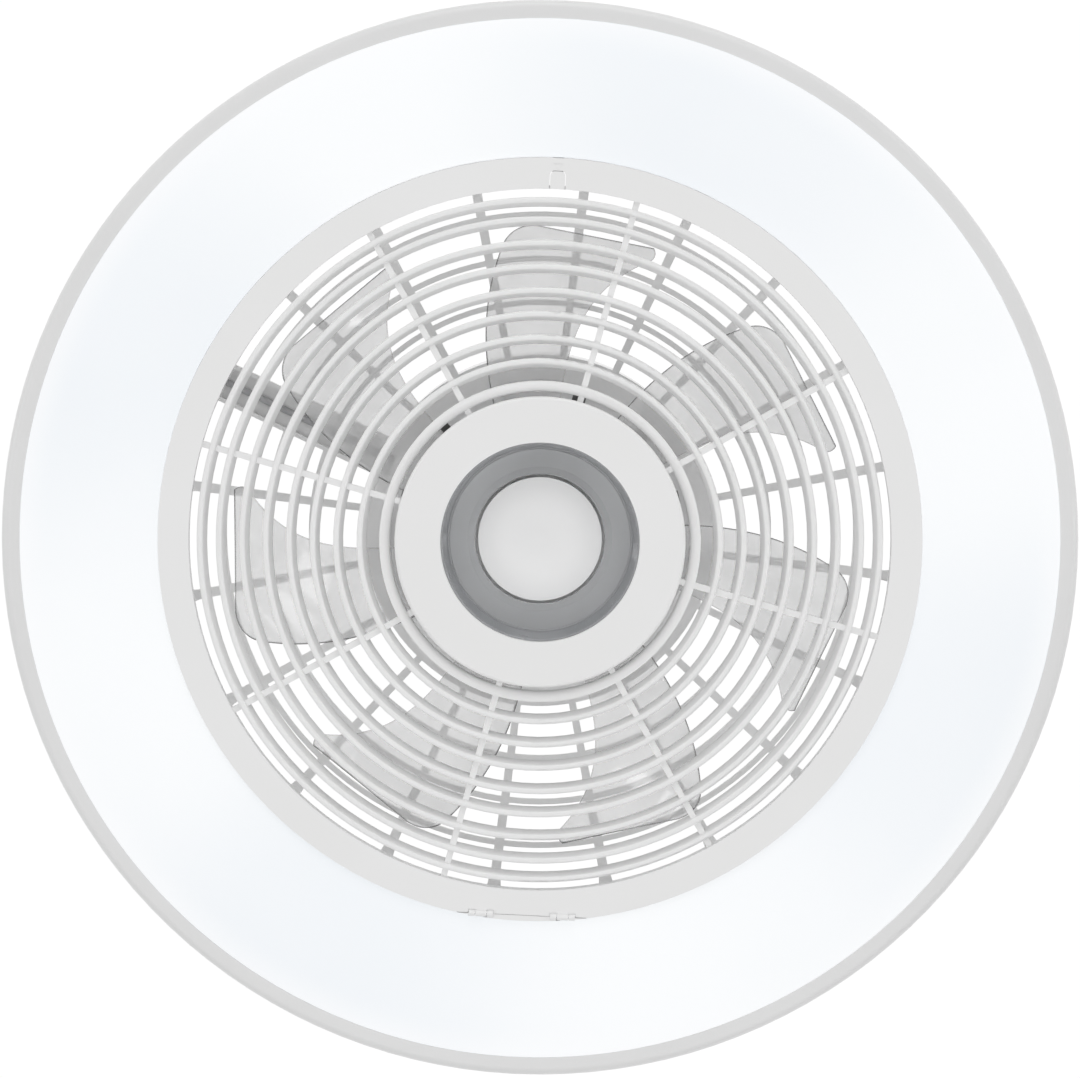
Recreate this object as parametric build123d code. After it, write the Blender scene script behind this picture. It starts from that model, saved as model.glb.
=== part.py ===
# A caged ceiling fan with a ring light round it, hanging from its ceiling bracket.
# Millimetres, +Z up. The origin is the middle of the bracket's top face, on the ceiling.
# The cover's hinge is at +Y and its latch at -Y. Angles are counted from +X about +Z.
from build123d import *
from math import cos, hypot, radians, sin, sqrt
import os

# Clearances
running_gap = 0.05
free_gap = 0.3
seat_gap = 0.2

# How far a cutter runs past the face it opens
overrun = 1.0

# Ceiling bracket
bracket_sheet = 2.0
bracket_width = 32.0
bracket_hub_radius = 34.0
cable_entry_radius = 11.0
slot_spacing = 100.0
slot_length = 20.0
slot_width = 5.0
ear_depth = 16.0
ear_screw_depth = 9.0
ground_screw_offset = 23.0

# Canopy
canopy_radius = 97.7
canopy_height = 61.5
canopy_sheet = 1.2
vent_count = 12
vent_inset = 7.5
vent_length = 7.5
vent_width = 6.0
vent_angle = 13.7
cable_slot_inset = 4.5
cable_slot_length = 11.7
cable_slot_width = 5.0
cable_slot_angle = -159.1

# Screws, by nominal thread radius
screw_small = 1.25
screw_medium = 1.5
screw_large = 2.0
head_ratio = 1.85
head_height_ratio = 1.15
head_round_ratio = 0.4
recess_length_ratio = 1.2
recess_width_ratio = 0.35

# Upper grille
rib_count = 20
rib_angle = 4.6
rib_depth = 4.0
rib_width_inner = 3.8
rib_width_outer = 5.4
rib_width_foot = 9.0
collar_width = 13.7
leg_offset = 4.8
shoulder_radius = 25.0
grille_ring_count = 3
grille_ring_inset = 10.5
grille_ring_pitch = 24.35
grille_ring_width = 3.1
leg_ring_count = 2
leg_ring_drop = 3.0
leg_ring_pitch = 13.0
leg_ring_height = 2.0
shoulder_ring_size = 3.0
foot_ring_reach = 13.0
foot_ring_height = 3.0
foot_screw_count = 10
foot_screw_reach = 5.5
collar_screw_count = 6
collar_screw_angle = 30.0
collar_screw_bite = 3.2

# Wire channel and the lead in it
channel_rib = -9
channel_width = 22.0
channel_wall = 2.4
channel_web = 2.0
channel_depth = 8.0
lead_radius = 1.9
lead_drop_reach = 6.0
lead_end = 12.0
lead_entry_bend = 4.0
lead_exit_bend = 6.5
lead_window_height = 16.0
lead_window_width = 5.7
grommet_wall = 1.6
grommet_flange = 1.8

# Ring light
outer_radius = 290.0
light_sheet = 1.2
light_inner_wall = 41.5
light_outer_wall = 32.0
trim_width = 9.8
trim_height = 44.0
trim_wall = 2.5
trim_corner = 4.0
diffuser_wall = 2.0
diffuser_sag = 2.0
diffuser_step = 2.4
diffuser_lip = 5.5
board_width = 37.0
board_thickness = 1.6
board_count = 4
board_span = 84.0
board_gap_angle = 27.2
board_screw_span = 75.6
chip_row_spread = 10.0
chip_columns = 9
chip_length = 3.5
chip_width = 2.8
chip_height = 0.8
trim_screw_count = 6
trim_screw_drop = 9.0
trim_screw_angle = 30.0

# Lower cover
bezel_outer = 205.6
bezel_width = 16.6
bezel_drop = 48.0
bezel_sheet = 2.0
bezel_lip_height = 12.0
bezel_lip = 1.8
bezel_edge_height = 8.0
bezel_edge = 1.6
bezel_gap = 0.6
dome_margin = 7.0
dome_rise = 10.5
bar_count = 9
bar_first_gap = 4.1
bar_first_pitch = 10.3
bar_pitch = 12.63
bar_face = 3.4
bar_top = 3.0
bar_lean = 2.2
bar_height = 9.0
bar_round = 1.2
seat_bar_width = 5.6
seat_bar_round = 4.2
spoke_count = 8
spoke_angle = 13.2
spoke_width = 3.3
spoke_height = 5.0
spoke_lift = 3.0
seat_wall = 2.5
seat_flange_clearance = 1.2
seat_flange_thickness = 2.5
arrow_size = 5.0
arrow_depth = 0.4

# Hub disc and clear cup
disc_outer = 77.9
disc_inner = 53.4
disc_drop = 14.5
disc_sheet = 2.0
disc_skirt = 1.7
disc_skirt_height = 8.1
disc_collar_height = 10.5
disc_collar = 1.6
disc_ledge = 0.8
disc_ledge_height = 4.1
disc_edge_round = 1.5
disc_screw_count = 4
disc_screw_cover = 1.0
cup_wall = 1.7
cup_round = 0.6
cup_slope = 3.8
cup_throat_lift = 31.5
cup_floor_width = 4.2
cup_floor_lift = 3.5
cup_hole_gap = 1.6
cup_tab_count = 6
cup_tab_angle = -22.8
cup_tab_width = 5.0
cup_tab_height = 2.0
cup_tab_reach = 2.2

# Hinge and latch
hinge_cut = 3.3
hinge_spread = 22.0
knuckle_width = 6.0
knuckle_radius = 1.8
ear_width = 3.4
hinge_pin_radius = 0.8
hinge_block_rise = 17.0
hinge_screw_spread = 10.0
hinge_screw_rise = 12.0
hinge_screw_cover = 1.0
latch_width = 8.6
latch_length = 9.7
latch_sheet = 1.6
latch_corner = 2.5
latch_root_height = 5.2
latch_arm_width = 6.0
latch_arm_height = 2.8
latch_arm_lift = 9.4
latch_riser = 2.0
latch_bite = 1.0
keeper_headroom = 3.2

# Motor
shaft_radius = 8.5
shaft_bore = 5.0
shaft_flange_radius = 25.0
shaft_flange_thickness = 4.0
shaft_spare = 0.5
shaft_screw_count = 3
shaft_screw_circle = 19.0
shaft_screw_angle = 90.0
rotor_radius = 58.0
motor_drop = 10.5
rotor_height = 36.0
rotor_wall = 4.0
rotor_plate = 2.5
rotor_screw_count = 6
bearing_outer = 17.5
bearing_width = 10.0
bearing_seat_wall = 3.0
race_inner_top = 11.2
race_outer_bottom = 14.8
ball_count = 9
ball_radius = 2.4
magnet_count = 14
magnet_depth = 4.0
magnet_height = 20.0
magnet_fill = 0.9
air_gap = 0.8
tooth_count = 12
tooth_width = 5.0
stack_height = 8.0
stack_hub_radius = 24.0
tooth_tip = 3.2
tooth_tip_fill = 0.8
coil_width = 9.6
coil_height = 12.0
coil_inset = 3.0
coil_round = 1.9
circlip_radius = 10.6
circlip_groove = 0.5
circlip_thickness = 1.1
circlip_opening = 5.0

# Blade hub and blades
hub_wall = 2.5
hub_floor = 3.2
hub_drop = 49.5
hub_cover_gap = 8.5
hub_skirt_height = 10.0
hub_bore = 14.0
hub_screw_count = 6
hub_screw_circle = 30.0
blade_count = 7
blade_angle = -47.0
blade_tip_gap = 33.5
blade_low_tip_round = 17.0
blade_high_tip_round = 5.0
blade_sheet = 1.8
blade_low_lift = 1.5
blade_rise = 39.0
blade_camber = 3.0
blade_low_root = -14.5
blade_low_slope = 6.8
blade_low_curve = 8.0
blade_high_root = 14.0
blade_high_sweep = 17.3
blade_stations = 6
blade_spare = 3.0
pad_sheet = 2.2
pad_margin = 3.0
pad_screw_offset = 10.0
pad_screw_inset = 6.5

# Centre lamp
lamp_radius = 33.4
lamp_wall = 1.5
lamp_rim_lift = 11.5
lamp_height = 8.0
lamp_nut_height = 3.0
lamp_nut_radius = 14.0
lamp_board_gap = 2.9
lamp_board_lift = 0.9
lamp_chip_count = 6
lamp_chip_circle = 18.0
lens_rim = 1.5
lens_rise = 4.8
lens_wall = 1.6
lamp_post_count = 3
lamp_post_circle = 24.0
lamp_post_radius = 3.0

# Driver and terminal block in the canopy
driver_length = 104.0
driver_width = 44.0
driver_height = 24.0
driver_wall = 2.0
driver_offset = 48.0
driver_foot = 3.0
driver_board_lift = 3.0
driver_board_gap = 1.0
transformer_size = (20.0, 18.0, 12.0)
transformer_place = (-22.0, 0.0)
capacitor_radius = 5.0
capacitor_height = 12.0
capacitor_places = ((0.0, 8.0), (12.0, 8.0))
choke_outer = 7.0
choke_inner = 3.0
choke_height = 8.0
choke_place = (30.0, -6.0)
relay_size = (15.0, 10.0, 10.0)
relay_place = (8.0, -9.0)
terminal_length = 34.0
terminal_width = 16.0
terminal_height = 15.0
terminal_offset = -60.0
terminal_poles = 3
terminal_pitch = 10.0
terminal_hole_radius = 2.2

# Heights that follow from the sizes above
floor_z = -canopy_height
floor_top_z = floor_z + canopy_sheet
grille_z = floor_z - rib_depth
rotor_top_z = floor_z - motor_drop
rotor_bottom_z = rotor_top_z - rotor_height
upper_bearing_z = rotor_top_z - rotor_plate
lower_bearing_z = rotor_bottom_z + rotor_plate
circlip_top_z = lower_bearing_z - seat_gap
stack_z = (upper_bearing_z + lower_bearing_z) / 2
hub_floor_z = rotor_bottom_z - hub_floor
hub_bottom_z = rotor_bottom_z - hub_drop
blade_low_z = hub_bottom_z + blade_low_lift
blade_high_z = blade_low_z + blade_rise
bezel_z = hub_bottom_z - hub_cover_gap
light_top_z = bezel_z + bezel_drop
light_roof_z = light_top_z - light_sheet
light_wall_low_z = light_top_z - light_inner_wall
foot_top_z = light_top_z + foot_ring_height
trim_z = light_top_z - trim_height
trim_flange_z = trim_z + trim_wall
disc_z = bezel_z - disc_drop
disc_back_z = disc_z + disc_sheet
cup_rim_z = disc_z + disc_ledge_height
cup_throat_z = disc_z + cup_throat_lift
cup_floor_z = cup_throat_z + cup_floor_lift
lamp_rim_z = hub_bottom_z + lamp_rim_lift
lamp_top_z = lamp_rim_z + lamp_height
lamp_floor_z = lamp_top_z - lamp_wall
lamp_board_z = lamp_rim_z + lamp_board_lift
shaft_end_z = lamp_floor_z - lamp_nut_height - shaft_spare

# Radii and angles that follow from the sizes above
canopy_bore = canopy_radius - canopy_sheet
collar_inner = canopy_radius - collar_width
collar_middle = (canopy_radius + collar_inner) / 2
vent_circle = collar_inner - vent_inset
cable_slot_circle = canopy_bore - cable_slot_inset
ear_reach = sqrt((canopy_bore - seat_gap) ** 2 - (bracket_width / 2) ** 2)
light_inner = bezel_outer + bezel_gap
light_wall_outer = outer_radius - trim_wall
light_wall_inner = light_wall_outer - light_sheet
trim_inner = outer_radius - trim_width
board_middle = (light_inner + light_sheet + light_wall_inner) / 2
board_inner = board_middle - board_width / 2
board_outer = board_middle + board_width / 2
chip_rows = (board_middle - chip_row_spread, board_middle + chip_row_spread)
leg_radius = light_inner + leg_offset
foot_ring_outer = leg_radius + foot_ring_reach
foot_screw_circle = leg_radius + foot_screw_reach
lead_drop_circle = leg_radius + lead_drop_reach
shoulder_x = leg_radius - shoulder_radius
shoulder_z = floor_z - shoulder_radius
channel_angle = rib_angle + channel_rib * 360 / rib_count
bezel_inner = bezel_outer - bezel_width
dome_radius = bezel_inner + dome_margin
hinge_chord = bezel_outer - hinge_cut
hinge_y = hinge_chord + free_gap / 2
hinge_z = bezel_z
seat_wall_outer = disc_outer - disc_skirt - free_gap
seat_wall_inner = seat_wall_outer - seat_wall
seat_flange_inner = disc_inner + disc_ledge + disc_collar + seat_flange_clearance
disc_screw_circle = (seat_flange_inner + seat_wall_inner) / 2
cup_throat = disc_inner - cup_slope
cup_hole = lamp_radius + cup_hole_gap
cup_floor_circle = cup_hole + cup_floor_width
hub_outer = rotor_radius + free_gap + hub_wall
hub_inner = hub_outer - hub_wall
blade_tip = leg_radius - channel_depth - blade_tip_gap
magnet_outer = rotor_radius - rotor_wall
magnet_inner = magnet_outer - magnet_depth
stator_radius = magnet_inner - air_gap
coil_inner = stack_hub_radius + coil_inset
coil_outer = stator_radius - tooth_tip - coil_inset
seat_outer = bearing_outer + bearing_seat_wall
ball_circle = (race_inner_top + race_outer_bottom) / 2
lamp_board_radius = lamp_radius - lamp_wall - lamp_board_gap


# Shared shapes

def disc(radius, low, high):
    return Pos(0, 0, (low + high) / 2) * Cylinder(radius, high - low)


def tube(outer, inner, low, high):
    return disc(outer, low, high) - disc(inner, low, high)


def block(x, y, z):
    """A box from three pairs of limits."""
    size = [b - a for a, b in (x, y, z)]
    middle = [(a + b) / 2 for a, b in (x, y, z)]
    return Pos(*middle) * Box(*size)


def turned(*points):
    """A solid of revolution about the fan's axis, from its radius and height corners."""
    return revolve(Plane.XZ * make_face(Polyline(*points, close=True)), Axis.Z)


def sector(outer, inner, low, high, span):
    """A piece of a tube, centred on +X."""
    face = make_face(Polyline((inner, low), (outer, low), (outer, high), (inner, high), close=True))
    return Rot(0, 0, -span / 2) * revolve(Plane.XZ * face, Axis.Z, revolution_arc=span)


def ring_of(count, start):
    """Turns that share a circle equally, from a first angle."""
    return [Rot(0, 0, start + 360 * i / count) for i in range(count)]


def screw(radius, length):
    """A pan-head screw with a cross recess, head upwards, its head seated at z = 0."""
    head_radius = radius * head_ratio
    head_height = radius * head_height_ratio
    head = Pos(0, 0, head_height / 2) * Cylinder(head_radius, head_height)
    head = fillet(head.edges().group_by(Axis.Z)[-1], head_height * head_round_ratio)
    shank = Pos(0, 0, -length / 2) * Cylinder(radius, length)
    arm = Box(head_radius * recess_length_ratio, radius * recess_width_ratio, head_height)
    recess = Pos(0, 0, head_height) * (arm + Rot(0, 0, 90) * arm)
    return head + shank - recess


def save(name, *shapes):
    solids = [solid for shape in shapes for solid in shape.solids()]
    export_step(Compound(label=name, children=solids), f"parts/{name}.step")


# Places of the screws

def canopy_screw_places():
    return [Rot(0, 0, turn) * Pos(canopy_radius, 0, -ear_screw_depth) * Rot(0, 90, 0) for turn in (0, 180)]


def shaft_screw_places():
    turns = ring_of(shaft_screw_count, shaft_screw_angle)
    return [turn * Pos(shaft_screw_circle, 0, floor_top_z) for turn in turns]


def collar_screw_places():
    turns = ring_of(collar_screw_count, collar_screw_angle)
    return [turn * Pos(collar_middle, 0, floor_top_z) for turn in turns]


def foot_screw_places():
    start = rib_angle + 180 / rib_count
    return [turn * Pos(foot_screw_circle, 0, foot_top_z) for turn in ring_of(foot_screw_count, start)]


def trim_screw_places():
    turns = ring_of(trim_screw_count, trim_screw_angle)
    height = light_top_z - trim_screw_drop
    return [turn * Pos(outer_radius, 0, height) * Rot(0, 90, 0) for turn in turns]


def board_angles():
    return [board_gap_angle + 360 * (i + 0.5) / board_count for i in range(board_count)]


def board_screw_places():
    low = light_roof_z - board_thickness
    turns = [angle + side * board_screw_span / 2 for angle in board_angles() for side in (-1, 0, 1)]
    return [Rot(0, 0, turn) * Pos(board_middle, 0, low) * Rot(180, 0, 0) for turn in turns]


def rotor_screw_places():
    circle = rotor_radius - rotor_wall / 2
    return [turn * Pos(circle, 0, rotor_top_z) for turn in ring_of(rotor_screw_count, 0)]


def hub_screw_places():
    one = Pos(hub_screw_circle, 0, hub_floor_z) * Rot(180, 0, 0)
    return [turn * one for turn in ring_of(hub_screw_count, 0)]


def blade_turns():
    return ring_of(blade_count, blade_angle)


def pad_screw_places():
    """Two to each blade, in the corners of its pad that the blade leaves free."""
    outside = hub_outer + pad_sheet
    high = blade_high_z - pad_screw_inset
    low = blade_low_z + pad_screw_inset
    corners = ((-pad_screw_offset, high), (pad_screw_offset, low))
    return [Rot(0, 0, a) * Pos(outside, 0, z) * Rot(0, 90, 0) for a, z in corners]


def disc_screw_places():
    top = seat_flange_z() + seat_flange_thickness
    start = spoke_angle + 180 / spoke_count
    return [turn * Pos(disc_screw_circle, 0, top) for turn in ring_of(disc_screw_count, start)]


def hinge_screw_places():
    reach = light_inner + light_sheet
    height = bezel_z + hinge_screw_rise
    turn = Rot(-90, 0, 0)
    return [Pos(x, reach, height) * turn for x in (-hinge_screw_spread, hinge_screw_spread)]


def holes(places, radius, depth):
    """Round cutters that follow each screw's axis down from its head's seat."""
    return [place * Pos(0, 0, -depth / 2) * Cylinder(radius, depth) for place in places]


# Ceiling and canopy

def make_bracket():
    strip = block((-ear_reach, ear_reach), (-bracket_width / 2, bracket_width / 2), (-bracket_sheet, 0))
    body = strip + disc(bracket_hub_radius, -bracket_sheet, 0)
    for side in (-1, 1):
        x = sorted((side * ear_reach, side * (ear_reach - bracket_sheet)))
        body += block(x, (-bracket_width / 2, bracket_width / 2), (-ear_depth, 0))
        slot = extrude(SlotOverall(slot_length, slot_width), bracket_sheet * 2, both=True)
        body -= Pos(side * slot_spacing / 2, 0, 0) * slot
    body -= disc(cable_entry_radius, -bracket_sheet, 0)
    body -= Pos(0, -ground_screw_offset, 0) * disc(screw_large, -bracket_sheet, 0)
    reach = canopy_radius - ear_reach + bracket_sheet
    return body - holes(canopy_screw_places(), screw_large, reach)


def make_ground_screw():
    return Pos(0, -ground_screw_offset, -bracket_sheet) * Rot(180, 0, 0) * screw(screw_large, bracket_sheet)


def cable_slot(low, high):
    half = cable_slot_width / 2
    side = cable_slot_length / 2
    cut = block((cable_slot_circle - half, cable_slot_circle + half), (-side, side), (low, high))
    return Rot(0, 0, cable_slot_angle) * cut


def make_canopy():
    body = tube(canopy_radius, canopy_bore, floor_z, 0) + disc(canopy_radius, floor_z, floor_top_z)
    body -= disc(shaft_bore, floor_z, floor_top_z)
    half_width = vent_width / 2
    half_length = vent_length / 2
    vent = block((vent_circle - half_width, vent_circle + half_width), (-half_length, half_length),
                 (floor_z, floor_top_z))
    body -= [turn * vent for turn in ring_of(vent_count, vent_angle)]
    body -= cable_slot(floor_z, floor_top_z)
    body -= holes(shaft_screw_places(), screw_medium, canopy_sheet)
    body -= holes(collar_screw_places(), screw_medium, canopy_sheet)
    return body - holes(canopy_screw_places(), screw_large, canopy_sheet * 2)


def make_terminal_block():
    half_length = terminal_length / 2
    half_width = terminal_width / 2
    top = floor_top_z + terminal_height
    y = (terminal_offset - half_width, terminal_offset + half_width)
    body = block((-half_length, half_length), y, (floor_top_z, top))
    for i in range(terminal_poles):
        x = (i - (terminal_poles - 1) / 2) * terminal_pitch
        body -= Pos(x, terminal_offset, top) * Cylinder(terminal_hole_radius, terminal_height)
        entry = Rot(90, 0, 0) * Cylinder(terminal_hole_radius, terminal_width)
        body -= Pos(x, terminal_offset, floor_top_z + terminal_height / 3) * entry
    return body


def driver_box(inset, low, high):
    half_length = driver_length / 2 - inset
    half_width = driver_width / 2 - inset
    y = (driver_offset - half_width, driver_offset + half_width)
    return block((-half_length, half_length), y, (low, high))


def driver_floor_z():
    return floor_top_z + driver_foot


def driver_rim_z():
    return driver_floor_z() + driver_height - driver_wall


def driver_board_z():
    return driver_floor_z() + driver_wall + driver_board_lift


def make_driver_case():
    low = driver_floor_z()
    body = driver_box(0, low, driver_rim_z()) - driver_box(driver_wall, low + driver_wall, driver_rim_z())
    for x in (-driver_length / 3, driver_length / 3):
        body += Pos(x, driver_offset, floor_top_z + driver_foot / 2) * Cylinder(driver_wall * 2, driver_foot)
        post = low + driver_wall + driver_board_lift / 2
        body += Pos(x, driver_offset, post) * Cylinder(driver_wall, driver_board_lift)
    return body


def make_driver_lid():
    rim = driver_rim_z()
    plate = driver_box(0, rim, rim + driver_wall)
    lip = driver_box(driver_wall + seat_gap, rim - driver_wall, rim)
    return plate + lip


def make_driver_board():
    low = driver_board_z()
    return driver_box(driver_wall + driver_board_gap, low, low + board_thickness)


def on_board(place, height):
    """The middle of a component of this height that stands on the driver's board."""
    return Pos(place[0], driver_offset + place[1], driver_board_z() + board_thickness + height / 2)


def make_driver_parts():
    """Transformer, two capacitors, a choke and a relay."""
    transformer = on_board(transformer_place, transformer_size[2]) * Box(*transformer_size)
    can = Cylinder(capacitor_radius, capacitor_height)
    capacitors = [on_board(place, capacitor_height) * can for place in capacitor_places]
    winding = Cylinder(choke_outer, choke_height) - Cylinder(choke_inner, choke_height)
    choke = on_board(choke_place, choke_height) * winding
    relay = on_board(relay_place, relay_size[2]) * Box(*relay_size)
    return [transformer, *capacitors, choke, relay]


# Upper grille

def cage_strip(outer, inner, start):
    """Side view of a strip of the cage, between two depths inside its outer surface."""
    big = shoulder_radius - outer
    small = shoulder_radius - inner
    bend = (shoulder_x, shoulder_z)
    lines = [
        Line((start, shoulder_z + big), (shoulder_x, shoulder_z + big)),
        CenterArc(bend, big, 0, 90),
        Line((shoulder_x + big, shoulder_z), (shoulder_x + big, light_top_z)),
        Line((shoulder_x + big, light_top_z), (shoulder_x + small, light_top_z)),
        Line((shoulder_x + small, light_top_z), (shoulder_x + small, shoulder_z)),
        CenterArc(bend, small, 0, 90),
        Line((shoulder_x, shoulder_z + small), (start, shoulder_z + small)),
        Line((start, shoulder_z + small), (start, shoulder_z + big)),
    ]
    return Plane.XZ * make_face(lines)


def make_rib():
    """One rib along +X, wider at its foot."""
    side_view = extrude(cage_strip(0, rib_depth, collar_middle), rib_width_foot / 2, both=True)
    widths = ((collar_middle, rib_width_inner), (shoulder_x + shoulder_radius / 4, rib_width_outer),
              (leg_radius - rib_depth * 2, rib_width_foot), (leg_radius + overrun, rib_width_foot))
    near = [(x, -width / 2) for x, width in widths]
    far = [(x, width / 2) for x, width in reversed(widths)]
    plan = make_face(Polyline(*near, *far, close=True))
    return side_view & Pos(0, 0, light_top_z) * extrude(plan, -light_top_z)


def channel_cut():
    """The hollow of the wire channel, along +X."""
    half = channel_width / 2 - channel_wall
    start = cable_slot_circle - cable_slot_width / 2
    hollow = extrude(cage_strip(channel_web, channel_depth + overrun, start), half, both=True)
    window_z = (foot_top_z, foot_top_z + lead_window_height)
    inside = leg_radius - channel_depth
    outside = leg_radius + overrun
    foot_z = (light_top_z - overrun, foot_top_z)
    hollow -= block((light_inner, outside), (-channel_width, channel_width), foot_z)
    window_half = lead_window_width / 2
    return hollow + block((inside, outside), (-window_half, window_half), window_z)


def make_channel():
    """The broad channel that stands in for one rib, open towards the fan."""
    half = channel_width / 2
    return extrude(cage_strip(0, channel_depth, collar_middle), half, both=True)


def make_upper_grille():
    turns = ring_of(rib_count, rib_angle)
    channel_turn = turns.pop(channel_rib)
    rib = make_rib()
    body = tube(canopy_radius, collar_inner, grille_z, floor_z)
    ring_top = floor_z - rib_depth / 4
    for i in range(grille_ring_count):
        radius = shoulder_x - grille_ring_inset - i * grille_ring_pitch
        body += tube(radius + grille_ring_width / 2, radius - grille_ring_width / 2, grille_z, ring_top)
    body += [turn * rib for turn in turns]
    bend = (shoulder_radius - rib_depth / 2) * cos(radians(45))
    half = shoulder_ring_size / 2
    bend_x = shoulder_x + bend
    bend_z = shoulder_z + bend
    body += tube(bend_x + half, bend_x - half, bend_z - half, bend_z + half)
    leg_middle = leg_radius - rib_depth / 2
    for i in range(leg_ring_count):
        low = shoulder_z - leg_ring_drop - i * leg_ring_pitch
        body += tube(leg_middle + half, leg_middle - half, low, low + leg_ring_height)
    body += tube(foot_ring_outer, light_inner, light_top_z, foot_top_z)
    body += channel_turn * make_channel()
    body -= channel_turn * channel_cut()
    drop = Pos(lead_drop_circle, 0, 0) * disc(lead_radius + grommet_wall, light_top_z, foot_top_z)
    body -= channel_turn * drop
    body -= cable_slot(grille_z, floor_z)
    body -= holes(collar_screw_places(), screw_medium, canopy_sheet + collar_screw_bite)
    return body - holes(foot_screw_places(), screw_medium, foot_ring_height)


def make_light_lead():
    """The lead from the canopy to the ring light, lying in the wire channel."""
    depth = channel_web + lead_radius + free_gap
    along_z = floor_z - depth
    down_x = leg_radius - depth
    exit_z = foot_top_z + lead_window_height - 3 * lead_radius
    route = [
        (cable_slot_circle, floor_z + lead_end),
        (cable_slot_circle, along_z),
        (down_x, along_z),
        (down_x, exit_z),
        (lead_drop_circle, exit_z - lead_radius * 2),
        (lead_drop_circle, light_roof_z - lead_radius * 2),
    ]
    radii = [lead_entry_bend, shoulder_radius - depth, lead_exit_bend, lead_exit_bend]
    path = Plane.XZ * FilletPolyline(*route, radius=radii)
    section = Plane(path @ 0, z_dir=path % 0) * Circle(lead_radius)
    lead = sweep(section, path=path)
    print("light lead bend radii", radii, "length", round(path.length))
    return Rot(0, 0, channel_angle) * lead


def make_lead_grommet():
    bore = lead_radius + seat_gap
    outer = lead_radius + grommet_wall
    top = foot_top_z + grommet_flange
    body = tube(outer, bore, light_roof_z, top) + tube(outer + grommet_wall, bore, foot_top_z, top)
    return Rot(0, 0, channel_angle) * Pos(lead_drop_circle, 0, 0) * body


# Ring light

def make_chassis():
    inner_low = light_wall_low_z
    outer_low = light_top_z - light_outer_wall
    body = turned(
        (light_inner, inner_low), (light_inner, light_top_z), (light_wall_outer, light_top_z),
        (light_wall_outer, outer_low), (light_wall_inner, outer_low), (light_wall_inner, light_roof_z),
        (light_inner + light_sheet, light_roof_z), (light_inner + light_sheet, inner_low),
    )
    drop = Pos(lead_drop_circle, 0, 0) * disc(lead_radius + grommet_wall, light_roof_z, light_top_z)
    body -= Rot(0, 0, channel_angle) * drop
    body -= holes(foot_screw_places(), screw_medium, foot_ring_height + light_sheet)
    body -= holes(board_screw_places(), screw_medium, board_thickness + light_sheet)
    body -= holes(trim_screw_places(), screw_medium, trim_wall + light_sheet)
    body -= holes(hinge_screw_places(), screw_medium, light_sheet * 2)
    return body - keeper()


def keeper():
    """The slot in the inner wall that the latch's hook bites into."""
    half = latch_arm_width / 2 + free_gap * 2
    low = bezel_z + latch_arm_lift - free_gap
    high = low + latch_arm_height + keeper_headroom
    return block((-half, half), (-light_inner - light_sheet * 2, -light_inner + light_sheet), (low, high))


def make_boards():
    board = sector(board_outer, board_inner, light_roof_z - board_thickness, light_roof_z, board_span)
    cuts = holes(board_screw_places(), screw_medium, board_thickness)
    return [Rot(0, 0, angle) * board - cuts for angle in board_angles()]


def make_chips():
    middle_z = light_roof_z - board_thickness - chip_height / 2
    step = board_span / chip_columns
    chip = Box(chip_width, chip_length, chip_height)
    chips = []
    for angle in board_angles():
        for radius in chip_rows:
            for column in range(chip_columns):
                turn = angle + (column - (chip_columns - 1) / 2) * step
                chips.append(Rot(0, 0, turn) * Pos(radius, 0, middle_z) * chip)
    return chips


def make_diffuser():
    """A milky ring with a shallow belly, clamped by the trim and tucked under the inner wall."""
    inner = bezel_outer + bezel_gap - seat_gap
    low_inner = bezel_z + diffuser_step
    outer = trim_inner - seat_gap
    rim_low = trim_flange_z
    rim_high = rim_low + diffuser_wall
    outer_low = trim_z - free_gap
    roof_inner = low_inner + diffuser_wall
    roof_outer = outer_low + diffuser_wall
    middle = (inner + outer) / 2
    belly = (low_inner + outer_low) / 2 - diffuser_sag
    tuck = light_wall_low_z - seat_gap
    lines = [
        Line((inner, tuck), (inner, low_inner)),
        ThreePointArc((inner, low_inner), (middle, belly), (outer, outer_low)),
        Line((outer, outer_low), (outer, rim_low)),
        Line((outer, rim_low), (outer + diffuser_lip, rim_low)),
        Line((outer + diffuser_lip, rim_low), (outer + diffuser_lip, rim_high)),
        Line((outer + diffuser_lip, rim_high), (outer - diffuser_wall, rim_high)),
        Line((outer - diffuser_wall, rim_high), (outer - diffuser_wall, roof_outer)),
        ThreePointArc((outer - diffuser_wall, roof_outer), (middle, belly + diffuser_wall),
                      (inner + diffuser_wall, roof_inner)),
        Line((inner + diffuser_wall, roof_inner), (inner + diffuser_wall, tuck)),
        Line((inner + diffuser_wall, tuck), (inner, tuck)),
    ]
    return revolve(Plane.XZ * make_face(lines), Axis.Z)


def make_trim():
    wall_inner = outer_radius - trim_wall
    top = light_roof_z
    corner_x = outer_radius - trim_corner
    corner_z = trim_z + trim_corner
    lines = [
        Line((wall_inner, top), (outer_radius, top)),
        Line((outer_radius, top), (outer_radius, corner_z)),
        CenterArc((corner_x, corner_z), trim_corner, 270, 90),
        Line((corner_x, trim_z), (trim_inner, trim_z)),
        Line((trim_inner, trim_z), (trim_inner, trim_flange_z)),
        Line((trim_inner, trim_flange_z), (wall_inner, trim_flange_z)),
        Line((wall_inner, trim_flange_z), (wall_inner, top)),
    ]
    body = revolve(Plane.XZ * make_face(lines), Axis.Z)
    head = screw_medium * head_ratio + seat_gap
    sink = screw_medium * head_height_ratio
    body -= holes(trim_screw_places(), head, sink)
    return body - holes(trim_screw_places(), screw_medium, trim_wall + light_sheet)


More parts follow.
